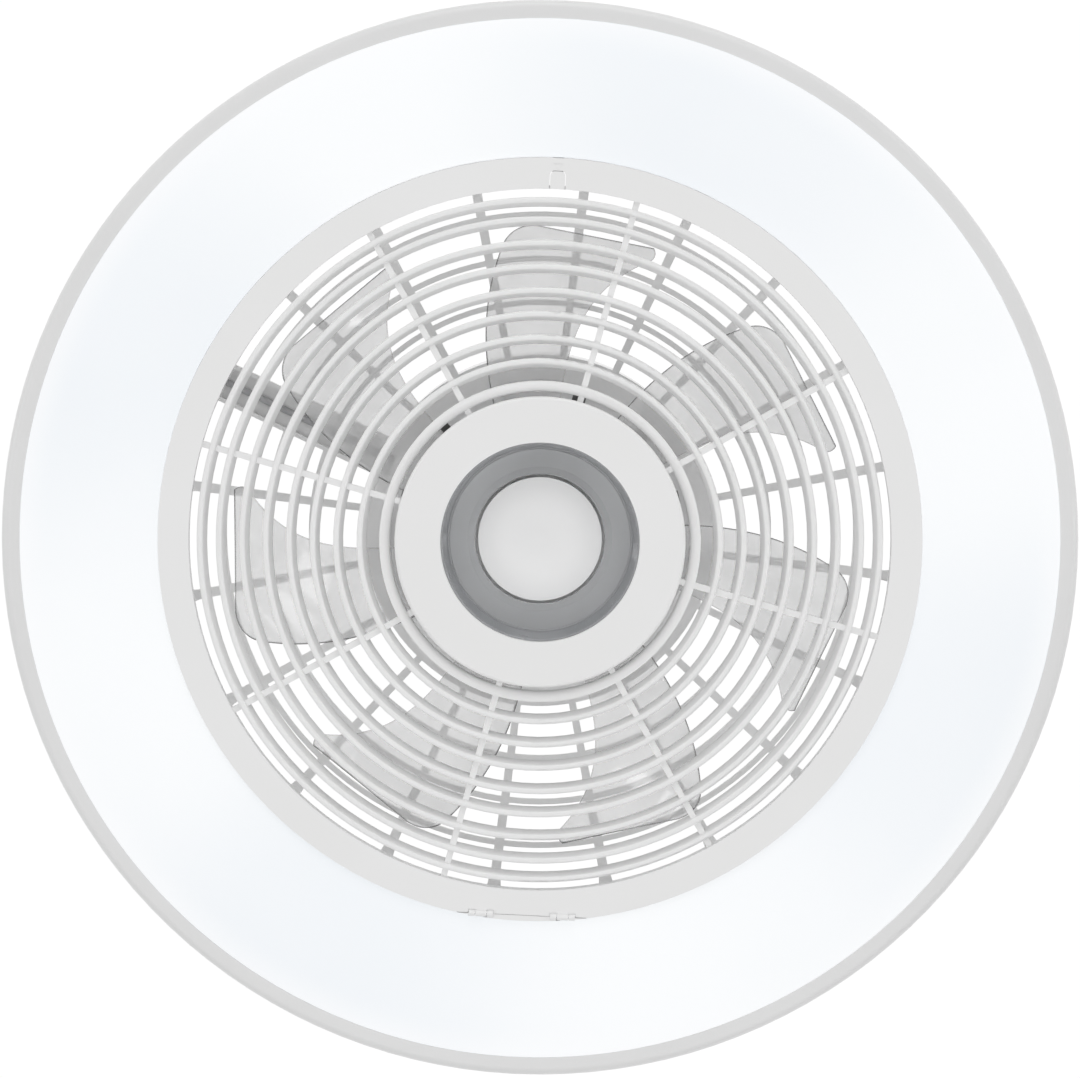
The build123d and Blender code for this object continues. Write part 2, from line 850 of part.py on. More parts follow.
def make_trim_screws():
    """The heads sit in their counterbores, flush with the trim."""
    sink = screw_medium * head_height_ratio
    one = Pos(0, 0, -sink) * screw(screw_medium, trim_wall - sink + light_sheet)
    return [place * one for place in trim_screw_places()]


# Motor

def make_shaft():
    flange_low = floor_z - shaft_flange_thickness
    body = disc(shaft_flange_radius, flange_low, floor_z) + disc(shaft_radius, shaft_end_z, floor_z)
    body -= disc(shaft_bore, shaft_end_z, floor_z)
    groove_low = circlip_top_z - circlip_thickness
    groove = tube(shaft_radius, shaft_radius - circlip_groove, groove_low, circlip_top_z)
    body -= holes(shaft_screw_places(), screw_medium, canopy_sheet + shaft_flange_thickness)
    return body - groove


def make_circlip():
    low = circlip_top_z - circlip_thickness
    body = tube(circlip_radius, shaft_radius - circlip_groove, low, circlip_top_z)
    half = circlip_opening / 2
    return body - block((0, circlip_radius + overrun), (-half, half), (low, circlip_top_z))


def bearing_places():
    return [upper_bearing_z - bearing_width / 2, lower_bearing_z + bearing_width / 2]


def make_races(outer, inner):
    groove = Torus(ball_circle, ball_radius + running_gap)
    half = bearing_width / 2
    return [Pos(0, 0, z) * (tube(outer, inner, -half, half) - groove) for z in bearing_places()]


def make_balls():
    ball = Pos(ball_circle, 0, 0) * Sphere(ball_radius)
    return [Pos(0, 0, z) * turn * ball for z in bearing_places() for turn in ring_of(ball_count, 0)]


def make_stator():
    half = stack_height / 2
    sleeve_half = (upper_bearing_z - lower_bearing_z) / 2 - bearing_width
    body = disc(stack_hub_radius, stack_z - half, stack_z + half)
    body += disc(race_inner_top, stack_z - sleeve_half, stack_z + sleeve_half)
    reach = stator_radius - tooth_tip / 2
    tooth_y = (-tooth_width / 2, tooth_width / 2)
    tooth = block((stack_hub_radius - overrun, reach), tooth_y, (stack_z - half, stack_z + half))
    tip_span = 360 / tooth_count * tooth_tip_fill
    tip = sector(stator_radius, stator_radius - tooth_tip, stack_z - half, stack_z + half, tip_span)
    body += [turn * (tooth + tip) for turn in ring_of(tooth_count, 0)]
    return body - disc(shaft_radius, stack_z - sleeve_half, stack_z + sleeve_half)


def make_windings():
    half = coil_height / 2
    side = coil_width / 2
    coil = block((coil_inner, coil_outer), (-side, side), (stack_z - half, stack_z + half))
    coil = fillet(coil.edges().filter_by(Axis.X), coil_round)
    tooth_y = (-tooth_width / 2, tooth_width / 2)
    coil -= block((coil_inner, coil_outer), tooth_y, (stack_z - stack_height / 2, stack_z + stack_height / 2))
    return [turn * coil for turn in ring_of(tooth_count, 0)]


def make_rotor_cover():
    plate = tube(rotor_radius, ball_circle, upper_bearing_z, rotor_top_z)
    seat = tube(seat_outer, bearing_outer, upper_bearing_z - bearing_width, upper_bearing_z)
    return plate + seat - holes(rotor_screw_places(), screw_small, rotor_plate)


def make_rotor_shell():
    wall = tube(rotor_radius, magnet_outer, rotor_bottom_z, upper_bearing_z)
    plate = tube(rotor_radius, ball_circle, rotor_bottom_z, lower_bearing_z)
    seat = tube(seat_outer, bearing_outer, lower_bearing_z, lower_bearing_z + bearing_width)
    body = wall + plate + seat
    body -= holes(rotor_screw_places(), screw_small, rotor_plate + rotor_wall * 2)
    return body - holes(hub_screw_places(), screw_medium, hub_floor + rotor_plate)


def make_magnets():
    half = magnet_height / 2
    span = 360 / magnet_count * magnet_fill
    magnet = sector(magnet_outer, magnet_inner, stack_z - half, stack_z + half, span)
    return [turn * magnet for turn in ring_of(magnet_count, 0)]


# Blade hub and blades

def make_blade_hub():
    floor = tube(hub_outer, hub_bore, hub_floor_z, rotor_bottom_z)
    wall = tube(hub_outer, hub_inner, hub_bottom_z, rotor_bottom_z + hub_skirt_height)
    body = floor + wall - holes(hub_screw_places(), screw_medium, hub_floor)
    cuts = holes(pad_screw_places(), screw_medium, pad_sheet + hub_wall)
    return body - [turn * cut for turn in blade_turns() for cut in cuts]


def blade_share(radius):
    return (radius - hub_outer) / (blade_tip - hub_outer)


def blade_edge(radius, high):
    """Plan position of a blade's high or low edge at one radius."""
    share = blade_share(radius)
    if high:
        angle = blade_high_root + blade_high_sweep * share ** 3
    else:
        angle = blade_low_root + blade_low_slope * share + blade_low_curve * share ** 2
    return Vector(radius * cos(radians(angle)), radius * sin(radians(angle)))


def blade_section(radius):
    """Upright cut through the blade between its two edges, a cambered strip a little too long."""
    low = blade_edge(radius, False)
    high = blade_edge(radius, True)
    chord = (high - low).length
    slope = blade_rise / chord
    half = blade_sheet * hypot(1, slope) / 2
    across = (high - low).cross(Vector(0, 0, 1))
    plane = Plane(origin=low + Vector(0, 0, blade_low_z), x_dir=high - low, z_dir=across)
    ends = (-blade_spare, chord / 2, chord + blade_spare)
    heights = [slope * s + blade_camber * 4 * s * (chord - s) / chord ** 2 for s in ends]
    under = [(s, z - half) for s, z in zip(ends, heights)]
    over = [(s, z + half) for s, z in zip(ends, heights)]
    lines = [ThreePointArc(*under), Line(under[2], over[2]), ThreePointArc(*over), Line(over[0], under[0])]
    return plane * make_face(lines)


def blade_plan():
    """Outline of the blade seen from below, broadly rounded where its low edge meets the tip."""
    root = hub_outer + pad_sheet / 2
    radii = [root + (blade_tip - root) * i / blade_stations for i in range(blade_stations + 1)]
    low = [blade_edge(radius, False) for radius in radii]
    high = [blade_edge(radius, True) for radius in radii]
    tip_angle = (blade_low_root + blade_low_slope + blade_low_curve + blade_high_root + blade_high_sweep) / 2
    tip_middle = Vector(blade_tip * cos(radians(tip_angle)), blade_tip * sin(radians(tip_angle)))
    root_arc = ThreePointArc(high[0], Vector(root, 0), low[0])
    lines = [Spline(*low), ThreePointArc(low[-1], tip_middle, high[-1]), Spline(*high), root_arc]
    face = make_face(lines)
    face = fillet(face.vertices().sort_by(Axis.Y)[-1:], blade_high_tip_round)
    return fillet(face.vertices().sort_by(Axis.X)[-1:], blade_low_tip_round)


def make_blade():
    """One blade with the curved pad that is screwed to the hub, centred near +X."""
    start = hub_outer - blade_spare
    step = (blade_tip + blade_spare - start) / (blade_stations - 1)
    sheet = loft([blade_section(start + i * step) for i in range(blade_stations)])
    prism = Pos(0, 0, blade_low_z - 2 * blade_spare) * extrude(blade_plan(), -blade_low_z)
    span = blade_high_root - blade_low_root + pad_margin
    pad = sector(hub_outer + pad_sheet, hub_outer, hub_bottom_z, blade_high_z + pad_margin, span)
    pad -= holes(pad_screw_places(), screw_medium, pad_sheet + hub_wall)
    return pad + (sheet & prism)


# Centre lamp

def make_lamp_base():
    body = tube(lamp_radius, lamp_radius - lamp_wall, lamp_rim_z, lamp_top_z)
    body += disc(lamp_radius, lamp_floor_z, lamp_top_z)
    post = Pos(lamp_post_circle, 0, 0) * disc(lamp_post_radius, lamp_board_z + board_thickness, lamp_floor_z)
    body += [turn * post for turn in ring_of(lamp_post_count, 0)]
    return body - disc(shaft_radius, lamp_floor_z, lamp_top_z)


def make_lamp_nut():
    low = lamp_floor_z - lamp_nut_height
    nut = Pos(0, 0, low) * extrude(RegularPolygon(lamp_nut_radius, 6), lamp_nut_height)
    return nut - disc(shaft_radius, low, lamp_floor_z)


def make_lamp_board():
    return disc(lamp_board_radius, lamp_board_z, lamp_board_z + board_thickness)


def make_lamp_chips():
    chip = Pos(0, 0, lamp_board_z - chip_height / 2) * Box(chip_length, chip_length, chip_height)
    return [chip] + [turn * Pos(lamp_chip_circle, 0, 0) * chip for turn in ring_of(lamp_chip_count, 30)]


def lens_arc(radius, edge_z, rise):
    """Half of a shallow dome's side view, from its edge to the axis."""
    dome = (radius ** 2 + rise ** 2) / (2 * rise)
    half = radius / 2
    middle = edge_z - rise + dome - sqrt(dome ** 2 - half ** 2)
    return ThreePointArc((radius, edge_z), (half, middle), (0, edge_z - rise))


def make_lamp_lens():
    edge = lamp_rim_z - lens_rim
    inner_radius = lamp_radius - lens_wall
    inner_edge = edge + lens_rim / 2
    inner_rise = lens_rise + lens_rim / 2 - lens_wall
    lines = [
        Line((inner_radius, lamp_rim_z), (lamp_radius, lamp_rim_z)),
        Line((lamp_radius, lamp_rim_z), (lamp_radius, edge)),
        lens_arc(lamp_radius, edge, lens_rise),
        Line((0, edge - lens_rise), (0, inner_edge - inner_rise)),
        lens_arc(inner_radius, inner_edge, inner_rise),
        Line((inner_radius, inner_edge), (inner_radius, lamp_rim_z)),
    ]
    return revolve(Plane.XZ * make_face(lines), Axis.Z)


def make_lamp_lead():
    return disc(lead_radius, lamp_board_z + board_thickness, floor_z + lead_end)


# Lower cover

def dome_z(radius):
    """Height of the cage's lowest points at one radius."""
    return bezel_z - dome_rise * (1 - (radius / dome_radius) ** 2)


def seat_flange_z():
    return dome_z(seat_wall_outer) + spoke_lift + seat_gap


def bar_radii():
    """Outer edges of the bars' faces, from the bezel inwards."""
    first = bezel_inner - bar_first_gap
    return [first] + [first - bar_first_pitch - i * bar_pitch for i in range(bar_count - 1)]


def ring_bar(corners, rounded, radius):
    """A ring with the section given by its corners, from the lower outer one, some of them rounded."""
    section = make_face(Polyline(*corners, close=True))
    picked = section.vertices().sort_by(Axis.Y)[:2].sort_by(Axis.X)[:rounded]
    return revolve(Plane.XZ * fillet(picked, radius), Axis.Z)


def make_louvre(radius):
    """One bar, a slat that leans towards the fan's axis as it rises."""
    low = dome_z(radius)
    high = low + bar_height
    inner = radius - bar_face
    inner_top = inner - bar_lean
    corners = ((radius, low), (inner_top + bar_top, high), (inner_top, high), (inner, low))
    return ring_bar(corners, 2, bar_round)


def make_seat_bar(radius):
    """The innermost bar, broad and well rounded towards the hub disc."""
    low = dome_z(radius)
    high = low + bar_height
    inner = radius - seat_bar_width
    return ring_bar(((radius, low), (radius, high), (inner, high), (inner, low)), 1, seat_bar_round)


def make_spoke():
    """One spoke behind the bars, along +X, following the dome."""
    start = (seat_wall_outer + seat_wall_inner) / 2
    end = bezel_inner + bezel_lip / 2
    radii = (start, (start + end) / 2, end)
    low = [(radius, dome_z(radius) + spoke_lift) for radius in radii]
    high = [(radius, z + spoke_height) for radius, z in low]
    lines = [ThreePointArc(*low), Line(low[2], high[2]), ThreePointArc(*high), Line(high[0], low[0])]
    return extrude(Plane.XZ * make_face(lines), spoke_width / 2, both=True)


def make_bezel():
    sheet_top = bezel_z + bezel_sheet
    body = tube(bezel_outer, bezel_inner, bezel_z, sheet_top)
    body += tube(bezel_inner + bezel_lip, bezel_inner, bezel_z, bezel_z + bezel_lip_height)
    body += tube(bezel_outer, bezel_outer - bezel_edge, bezel_z, bezel_z + bezel_edge_height)
    reach = bezel_outer + overrun
    body -= block((-reach, reach), (hinge_chord, reach), (bezel_z - overrun, bezel_z + bezel_lip_height))
    return body


def knuckle_axis(x_low, x_high, radius):
    body = Rot(0, 90, 0) * Cylinder(radius, x_high - x_low)
    return Pos((x_low + x_high) / 2, hinge_y, hinge_z) * body


def ear_limits():
    """Where the fixed ears stand on each side of the cover's two knuckles."""
    half = knuckle_width / 2 + free_gap
    starts = [side * hinge_spread + offset for side in (-1, 1) for offset in (-half - ear_width, half)]
    return [(x, x + ear_width) for x in starts]


def latch_plan(width, length, corner):
    """The tab's outline from above, rounded at its free end, from the bezel's inner edge."""
    plate = Pos(0, -bezel_inner - length / 2) * Rectangle(width, length)
    return fillet(plate.vertices().group_by(Axis.Y)[0], corner)


def make_cover_grille():
    *louvres, seat = bar_radii()
    body = make_bezel() + [make_louvre(radius) for radius in louvres] + make_seat_bar(seat)
    spoke = make_spoke()
    body += [turn * spoke for turn in ring_of(spoke_count, spoke_angle)]
    flange_z = seat_flange_z()
    flange_top = flange_z + seat_flange_thickness
    body += tube(seat_wall_outer, seat_wall_inner, disc_back_z + seat_gap, flange_top)
    body += tube(seat_wall_outer, seat_flange_inner, flange_z, flange_top)
    body -= holes(disc_screw_places(), screw_medium, seat_flange_thickness)
    for x in (-hinge_spread, hinge_spread):
        low = x - knuckle_width / 2
        body += knuckle_axis(low, low + knuckle_width, knuckle_radius)
        body -= knuckle_axis(low, low + knuckle_width, hinge_pin_radius + running_gap)
    notch = knuckle_radius + free_gap
    for low, high in ear_limits():
        z = (bezel_z - notch, bezel_z + notch)
        body -= block((low - free_gap, high + free_gap), (hinge_y - notch, bezel_outer), z)
    opening = latch_plan(latch_width, latch_length, latch_corner)
    low = bezel_z - overrun
    body -= Pos(0, 0, low) * extrude(opening, latch_root_height + free_gap + overrun)
    arrow = Triangle(a=arrow_size, b=arrow_size, c=arrow_size)
    arrow = Pos(0, -bezel_inner - latch_length - arrow_size / 2) * arrow
    return body - Pos(0, 0, low) * extrude(arrow, overrun + arrow_depth)


def make_hub_disc():
    skirt_top = disc_z + disc_skirt_height
    collar_inner_radius = disc_inner + disc_ledge
    body = tube(disc_outer, disc_inner, disc_z, disc_back_z)
    body += tube(disc_outer, disc_outer - disc_skirt, disc_z, skirt_top)
    face_edges = body.edges().filter_by(GeomType.CIRCLE).group_by(Axis.Z)[0]
    body = fillet(face_edges.sort_by(SortBy.RADIUS)[-1:], disc_edge_round)
    body += tube(collar_inner_radius, disc_inner, disc_z, cup_rim_z - seat_gap)
    body += tube(collar_inner_radius + disc_collar, collar_inner_radius, disc_z, disc_z + disc_collar_height)
    post_top = seat_flange_z() - seat_gap
    post = Pos(disc_screw_circle, 0, 0) * disc(screw_medium * 2, disc_back_z, post_top)
    body += [turn * post for turn in ring_of(disc_screw_count, spoke_angle + 180 / spoke_count)]
    depth = seat_flange_thickness + seat_gap + disc_screw_reach()
    return body - holes(disc_screw_places(), screw_medium, depth)


def disc_screw_reach():
    """How deep the disc's screws bite into its posts."""
    return seat_flange_z() - seat_gap - disc_back_z - disc_screw_cover


def make_cup():
    """The clear stepped cup in the disc, open in the middle for the lamp."""
    rim = disc_inner + disc_ledge - seat_gap
    section = make_face(Polyline(
        (rim, cup_rim_z), (cup_throat + cup_wall, cup_throat_z),
        (cup_floor_circle, cup_floor_z), (cup_hole, cup_floor_z),
        (cup_hole, cup_floor_z - cup_wall), (cup_floor_circle, cup_floor_z - cup_wall),
        (cup_throat, cup_throat_z - cup_wall), (rim - cup_wall, cup_rim_z), close=True,
    ))
    body = revolve(Plane.XZ * fillet(section.vertices(), cup_round), Axis.Z)
    tab_low = disc_z + disc_collar_height + free_gap
    collar_outer = disc_inner + disc_ledge + disc_collar
    tab_x = (cup_throat + cup_wall, collar_outer + cup_tab_reach - disc_collar)
    tab_y = (-cup_tab_width / 2, cup_tab_width / 2)
    tab = block(tab_x, tab_y, (tab_low, tab_low + cup_tab_height))
    return body + [turn * tab for turn in ring_of(cup_tab_count, cup_tab_angle)]


def hinge_screw_length():
    """From the light's inner wall to just short of the block's face."""
    return light_inner + light_sheet - hinge_chord - free_gap - hinge_screw_cover


def make_hinge_block():
    """The fixed half of the hinge, behind the cover's straight edge."""
    inside = hinge_chord + free_gap
    half = sqrt(bezel_outer ** 2 - inside ** 2)
    step_z = light_wall_low_z
    front = block((-half, half), (inside, bezel_outer), (bezel_z, step_z))
    front &= disc(bezel_outer, bezel_z, step_z)
    top_z = bezel_z + hinge_block_rise
    back = block((-half, half), (inside, light_inner), (step_z, top_z))
    back &= disc(light_inner, step_z, top_z)
    body = front + back
    clear = knuckle_radius + free_gap
    for x in (-hinge_spread, hinge_spread):
        side = knuckle_width / 2 + free_gap
        z = (bezel_z - overrun, bezel_z + clear)
        body -= block((x - side, x + side), (inside - overrun, hinge_y + clear), z)
    for low, high in ear_limits():
        body += knuckle_axis(low, high, knuckle_radius)
        body -= knuckle_axis(low, high, hinge_pin_radius)
    return body - holes(hinge_screw_places(), screw_medium, hinge_screw_length())


def make_hinge_pins():
    reach = knuckle_width / 2 + free_gap + ear_width
    return [knuckle_axis(x - reach, x + reach, hinge_pin_radius) for x in (-hinge_spread, hinge_spread)]


def make_latch_tab():
    """The springy tab with the hook that holds the cover shut."""
    plate = Pos(0, 0, bezel_z) * extrude(
        latch_plan(latch_width - 2 * free_gap, latch_length - free_gap, latch_corner), latch_sheet)
    half = latch_width / 2 - free_gap
    lip_outer = bezel_inner + bezel_lip
    root_z = (bezel_z, bezel_z + latch_root_height)
    root = block((-half, half), (-lip_outer, -bezel_inner), root_z) & tube(lip_outer, bezel_inner, *root_z)
    end = bezel_inner + latch_length - free_gap
    arm_low = bezel_z + latch_arm_lift
    arm_high = arm_low + latch_arm_height
    arm_x = (-latch_arm_width / 2, latch_arm_width / 2)
    riser = block(arm_x, (-end + free_gap, -end + free_gap + latch_riser), (bezel_z, arm_high))
    tip = light_inner + latch_bite
    arm = block(arm_x, (-tip, -end + free_gap + latch_riser), (arm_low, arm_high))
    return plate + root + riser + arm


# Write every piece

os.makedirs("parts", exist_ok=True)

save("ceiling_bracket", make_bracket())
save("ground_screw", make_ground_screw())
save("canopy", make_canopy())
canopy_screw_length = canopy_radius - ear_reach + bracket_sheet
save("canopy_screws", *[place * screw(screw_large, canopy_screw_length) for place in canopy_screw_places()])
save("terminal_block", make_terminal_block())
save("driver_case", make_driver_case())
save("driver_lid", make_driver_lid())
save("driver_board", make_driver_board())
save("driver_parts", *make_driver_parts())

save("upper_grille", make_upper_grille())
collar_screw = screw(screw_medium, canopy_sheet + collar_screw_bite)
save("grille_screws", *[place * collar_screw for place in collar_screw_places()])
save("light_lead", make_light_lead())
save("lead_grommet", make_lead_grommet())

save("light_chassis", make_chassis())
foot_screw = screw(screw_medium, foot_ring_height + light_sheet)
save("cage_screws", *[place * foot_screw for place in foot_screw_places()])
save("led_boards", *make_boards())
save("led_chips", *make_chips())
board_screw = screw(screw_medium, board_thickness + light_sheet)
save("board_screws", *[place * board_screw for place in board_screw_places()])
save("diffuser", make_diffuser())
save("trim_ring", make_trim())
save("trim_screws", *make_trim_screws())

save("motor_shaft", make_shaft())
shaft_screw = screw(screw_medium, canopy_sheet + shaft_flange_thickness)
save("shaft_screws", *[place * shaft_screw for place in shaft_screw_places()])
save("shaft_circlip", make_circlip())
save("inner_races", *make_races(race_inner_top, shaft_radius))
save("outer_races", *make_races(bearing_outer, race_outer_bottom))
save("bearing_balls", *make_balls())
save("stator_core", make_stator())
save("windings", *make_windings())
save("rotor_cover", make_rotor_cover())
save("rotor_shell", make_rotor_shell())
rotor_screw = screw(screw_small, rotor_plate + rotor_wall * 2)
save("rotor_screws", *[place * rotor_screw for place in rotor_screw_places()])
save("magnets", *make_magnets())

save("blade_hub", make_blade_hub())
hub_screw = screw(screw_medium, hub_floor + rotor_plate)
save("hub_screws", *[place * hub_screw for place in hub_screw_places()])
blade = make_blade()
for number, turn in enumerate(blade_turns(), start=1):
    save(f"blade_{number}", turn * blade)
pad_screw = screw(screw_medium, pad_sheet + hub_wall)
save("blade_screws", *[turn * place * pad_screw for turn in blade_turns() for place in pad_screw_places()])

save("lamp_base", make_lamp_base())
save("lamp_nut", make_lamp_nut())
save("lamp_board", make_lamp_board())
save("lamp_chips", *make_lamp_chips())
save("lamp_lens", make_lamp_lens())
save("lamp_lead", make_lamp_lead())

save("cover_grille", make_cover_grille())
save("hub_disc", make_hub_disc())
disc_screw = screw(screw_medium, seat_flange_thickness + seat_gap + disc_screw_reach())
save("disc_screws", *[place * disc_screw for place in disc_screw_places()])
save("centre_cup", make_cup())
save("hinge_block", make_hinge_block())
hinge_screw = screw(screw_medium, hinge_screw_length())
save("hinge_screws", *[place * hinge_screw for place in hinge_screw_places()])
save("hinge_pins", *make_hinge_pins())
save("latch_tab", make_latch_tab())
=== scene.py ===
from math import cos, pi, radians, sin

import bpy
from mathutils import Matrix, Vector


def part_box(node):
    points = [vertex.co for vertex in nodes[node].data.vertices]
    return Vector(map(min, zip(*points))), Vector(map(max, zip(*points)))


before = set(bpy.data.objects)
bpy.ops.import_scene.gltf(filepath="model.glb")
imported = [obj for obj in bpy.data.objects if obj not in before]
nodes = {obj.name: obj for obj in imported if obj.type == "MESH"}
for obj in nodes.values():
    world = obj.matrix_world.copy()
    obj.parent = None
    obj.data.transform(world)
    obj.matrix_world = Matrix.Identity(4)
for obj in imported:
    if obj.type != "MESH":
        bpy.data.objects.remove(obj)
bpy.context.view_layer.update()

# The camera hangs about three metres under the fan and looks up along its axis.
# It stands a little to one side, so deep parts of the cage shift towards the top.
picture_width = 1080
sensor_width = 36.0
pixels_per_metre = 1862.0
camera_distance = 3.0
camera_sight = 20.0
camera_tilt = radians(3.2)
camera_roll = radians(2.8)
aim_rise = 0.0011
across = Vector((cos(camera_roll), -sin(camera_roll), 0))
upright = Vector((-sin(camera_roll), -cos(camera_roll), 0))
up_axis = Vector((0, 0, 1))
forward = up_axis * cos(camera_tilt) - upright * sin(camera_tilt)
picture_up = upright * cos(camera_tilt) + up_axis * sin(camera_tilt)
cover_face = Vector((0, 0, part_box("hinge_block")[0].z))
aim = cover_face + upright * aim_rise
camera_data = bpy.data.cameras.new("camera")
camera_data.sensor_width = sensor_width
camera_data.lens = pixels_per_metre * camera_distance * sensor_width / picture_width
camera_data.clip_end = camera_sight
camera = bpy.data.objects.new("camera", camera_data)
scene = bpy.context.scene
scene.collection.objects.link(camera)
turn = Matrix((across, picture_up, -forward)).transposed()
camera.matrix_world = Matrix.Translation(aim - forward * camera_distance) @ turn.to_4x4()
scene.camera = camera

# The room is one white ceiling, even light from all round, and soft studio lamps.
# The ceiling shows only from below, so that the fan can also be seen from above.
# Over the canopy the ceiling is painted dark grey as painted shade, and it lets in a share of the room's
# light.
scene.view_settings.view_transform = "Standard"
room_white = (1, 1, 1, 1)
room_light = 0.62
room_colour = (0.72, 0.74, 0.76, 1)
ceiling_half = 3.0
ceiling_lift = 0.0005
ceiling_glow = 1.02
ceiling_sides = 96
plaster_shade = (0.30, 0.30, 0.30, 1)
plaster_leak = 0.35
canopy_overlap = 0.002
covered_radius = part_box("canopy")[1].x - canopy_overlap
front_lean = 0.35
side_slope = radians(57)
down, aside = -cos(side_slope), sin(side_slope)


def feed(tree, value, socket):
    """Gives a socket another node's output, or a plain value."""
    if isinstance(value, bpy.types.NodeSocket):
        tree.links.new(value, socket)
    else:
        socket.default_value = value


def new_material(name):
    """A material with an emptied node tree: the material, its tree and its surface socket."""
    material = bpy.data.materials.new(name)
    material.use_nodes = True
    tree = material.node_tree
    tree.nodes.clear()
    return material, tree, tree.nodes.new("ShaderNodeOutputMaterial").inputs["Surface"]


def mixed_shader(tree, share, first, second):
    """Two shaders, the second one by the share given."""
    mix = tree.nodes.new("ShaderNodeMixShader")
    for value, socket in zip((share, first, second), mix.inputs):
        feed(tree, value, socket)
    return mix.outputs["Shader"]


def sum_of(tree, operation, *values):
    """One sum of numbers or other nodes' outputs."""
    node = tree.nodes.new("ShaderNodeMath")
    node.operation = operation
    for value, socket in zip(values, node.inputs):
        feed(tree, value, socket)
    return node.outputs["Value"]


def ceiling_finish(name, kind, socket, value, leak=0.0):
    """A finish for the ceiling's lower side, clear from above, that leaks a share of the light."""
    material, tree, surface = new_material(name)
    under = tree.nodes.new(kind)
    under.inputs[socket].default_value = value
    see_through = tree.nodes.new("ShaderNodeBsdfTransparent")
    facing = tree.nodes.new("ShaderNodeNewGeometry")
    seen = tree.nodes.new("ShaderNodeLightPath").outputs["Is Camera Ray"]
    leaked = sum_of(tree, "MULTIPLY", sum_of(tree, "SUBTRACT", 1.0, seen), leak)
    open_share = sum_of(tree, "MAXIMUM", leaked, facing.outputs["Backfacing"])
    feed(tree, mixed_shader(tree, open_share, under.outputs[0], see_through.outputs[0]), surface)
    return material


def stage_sheet(name, rings, faces, material):
    """A flat sheet of ceiling from rings of points, lit side down."""
    mesh = bpy.data.meshes.new(name)
    mesh.from_pydata([point for ring in rings for point in ring], [], faces)
    mesh.materials.append(material)
    sheet = bpy.data.objects.new(name, mesh)
    scene.collection.objects.link(sheet)


def ceiling_ring(radius, squared):
    """Points round the canopy's axis, on a circle or out on a square of the same half width."""
    ring = []
    for step in range(ceiling_sides):
        x, y = cos(2 * pi * step / ceiling_sides), sin(2 * pi * step / ceiling_sides)
        stretch = max(abs(x), abs(y)) if squared else 1
        ring.append((radius * x / stretch, radius * y / stretch, ceiling_lift))
    return ring


def with_next(step):
    """A point's number on a ring and the next one's."""
    return step, (step + 1) % ceiling_sides


def hang_lamp(name, way, reach, width, depth, brightness, mirrored):
    """A soft lamp that shines at the cover, unseen by the camera, and mirrored in gloss or not."""
    light = bpy.data.lights.new(name, "AREA")
    light.shape = "RECTANGLE"
    light.size = width
    light.size_y = depth
    light.energy = brightness * pi * width * depth
    lamp = bpy.data.objects.new(name, light)
    scene.collection.objects.link(lamp)
    place = cover_face + way.normalized() * reach
    aim_turn = (cover_face - place).to_track_quat("-Z", "Y").to_matrix().to_4x4()
    lamp.matrix_world = Matrix.Translation(place) @ aim_turn
    lamp.visible_camera = False
    lamp.visible_glossy = mirrored


world = bpy.data.worlds.new("room")
scene.world = world
world.use_nodes = True
tree = world.node_tree
tree.nodes.clear()
room_output = tree.nodes.new("ShaderNodeOutputWorld")
light_path = tree.nodes.new("ShaderNodeLightPath")
around = tree.nodes.new("ShaderNodeBackground")
around.inputs["Color"].default_value = room_white
around.inputs["Strength"].default_value = room_light
backdrop = tree.nodes.new("ShaderNodeBackground")
backdrop.inputs["Color"].default_value = room_colour
room = mixed_shader(tree, light_path.outputs["Is Camera Ray"], around.outputs[0], backdrop.outputs[0])
feed(tree, room, room_output.inputs["Surface"])

ceiling_paint = ceiling_finish("ceiling_paint", "ShaderNodeEmission", "Strength", ceiling_glow)
ceiling_rings = [ceiling_ring(covered_radius, False), ceiling_ring(ceiling_half, True)]
ceiling_faces = [(a, b, b + ceiling_sides, a + ceiling_sides)
                 for a, b in map(with_next, range(ceiling_sides))]
stage_sheet("ceiling", ceiling_rings, ceiling_faces, ceiling_paint)
# The ceiling over the canopy is painted dark grey: painted shade, as if the canopy's shadow lay on it.
shaded_plaster = ceiling_finish("shaded_plaster", "ShaderNodeBsdfDiffuse", "Color", plaster_shade, leak=plaster_leak)
covered_face = tuple(reversed(range(ceiling_sides)))
stage_sheet("covered_ceiling", [ceiling_ring(covered_radius, False)], [covered_face], shaded_plaster)

hang_lamp("front_lamp", Vector((0, front_lean, -1)),
          reach=3.2, width=0.8, depth=0.8, brightness=6.0, mirrored=False)
hang_lamp("latch_panel", Vector((0, -aside, down)),
          reach=4.0, width=2.0, depth=2.6, brightness=1.9, mirrored=True)
for name, side in (("left_strip", -aside), ("right_strip", aside)):
    hang_lamp(name, Vector((side, 0, down)), reach=4.0, width=0.5, depth=2.0, brightness=3.0, mirrored=True)

# The ceiling bracket is a slotted strip, pressed from zinc plated steel sheet.
# Two ceiling screws hold it up, and the house's earth wire goes under its ground screw.
zinc = (0.62, 0.62, 0.61, 1)
zinc_shade = (0.47, 0.48, 0.51, 1)
cloud_band = (0.36, 0.64)
cloud_detail = 3.0
patch_fineness = 2.7
patch_detail = 4.0
patch_middle = 0.5
grain_detail = 2.0
tone, number = "NodeSocketColor", "NodeSocketFloat"


def start_group(name, inputs, outputs):
    """A node group with named sockets: the group, what goes in, and what comes out."""
    group = bpy.data.node_groups.new(name, "ShaderNodeTree")
    for in_out, sockets in (("INPUT", inputs), ("OUTPUT", outputs)):
        for title, kind in sockets.items():
            group.interface.new_socket(name=title, in_out=in_out, socket_type=kind)
    return group, group.nodes.new("NodeGroupInput").outputs, group.nodes.new("NodeGroupOutput").inputs


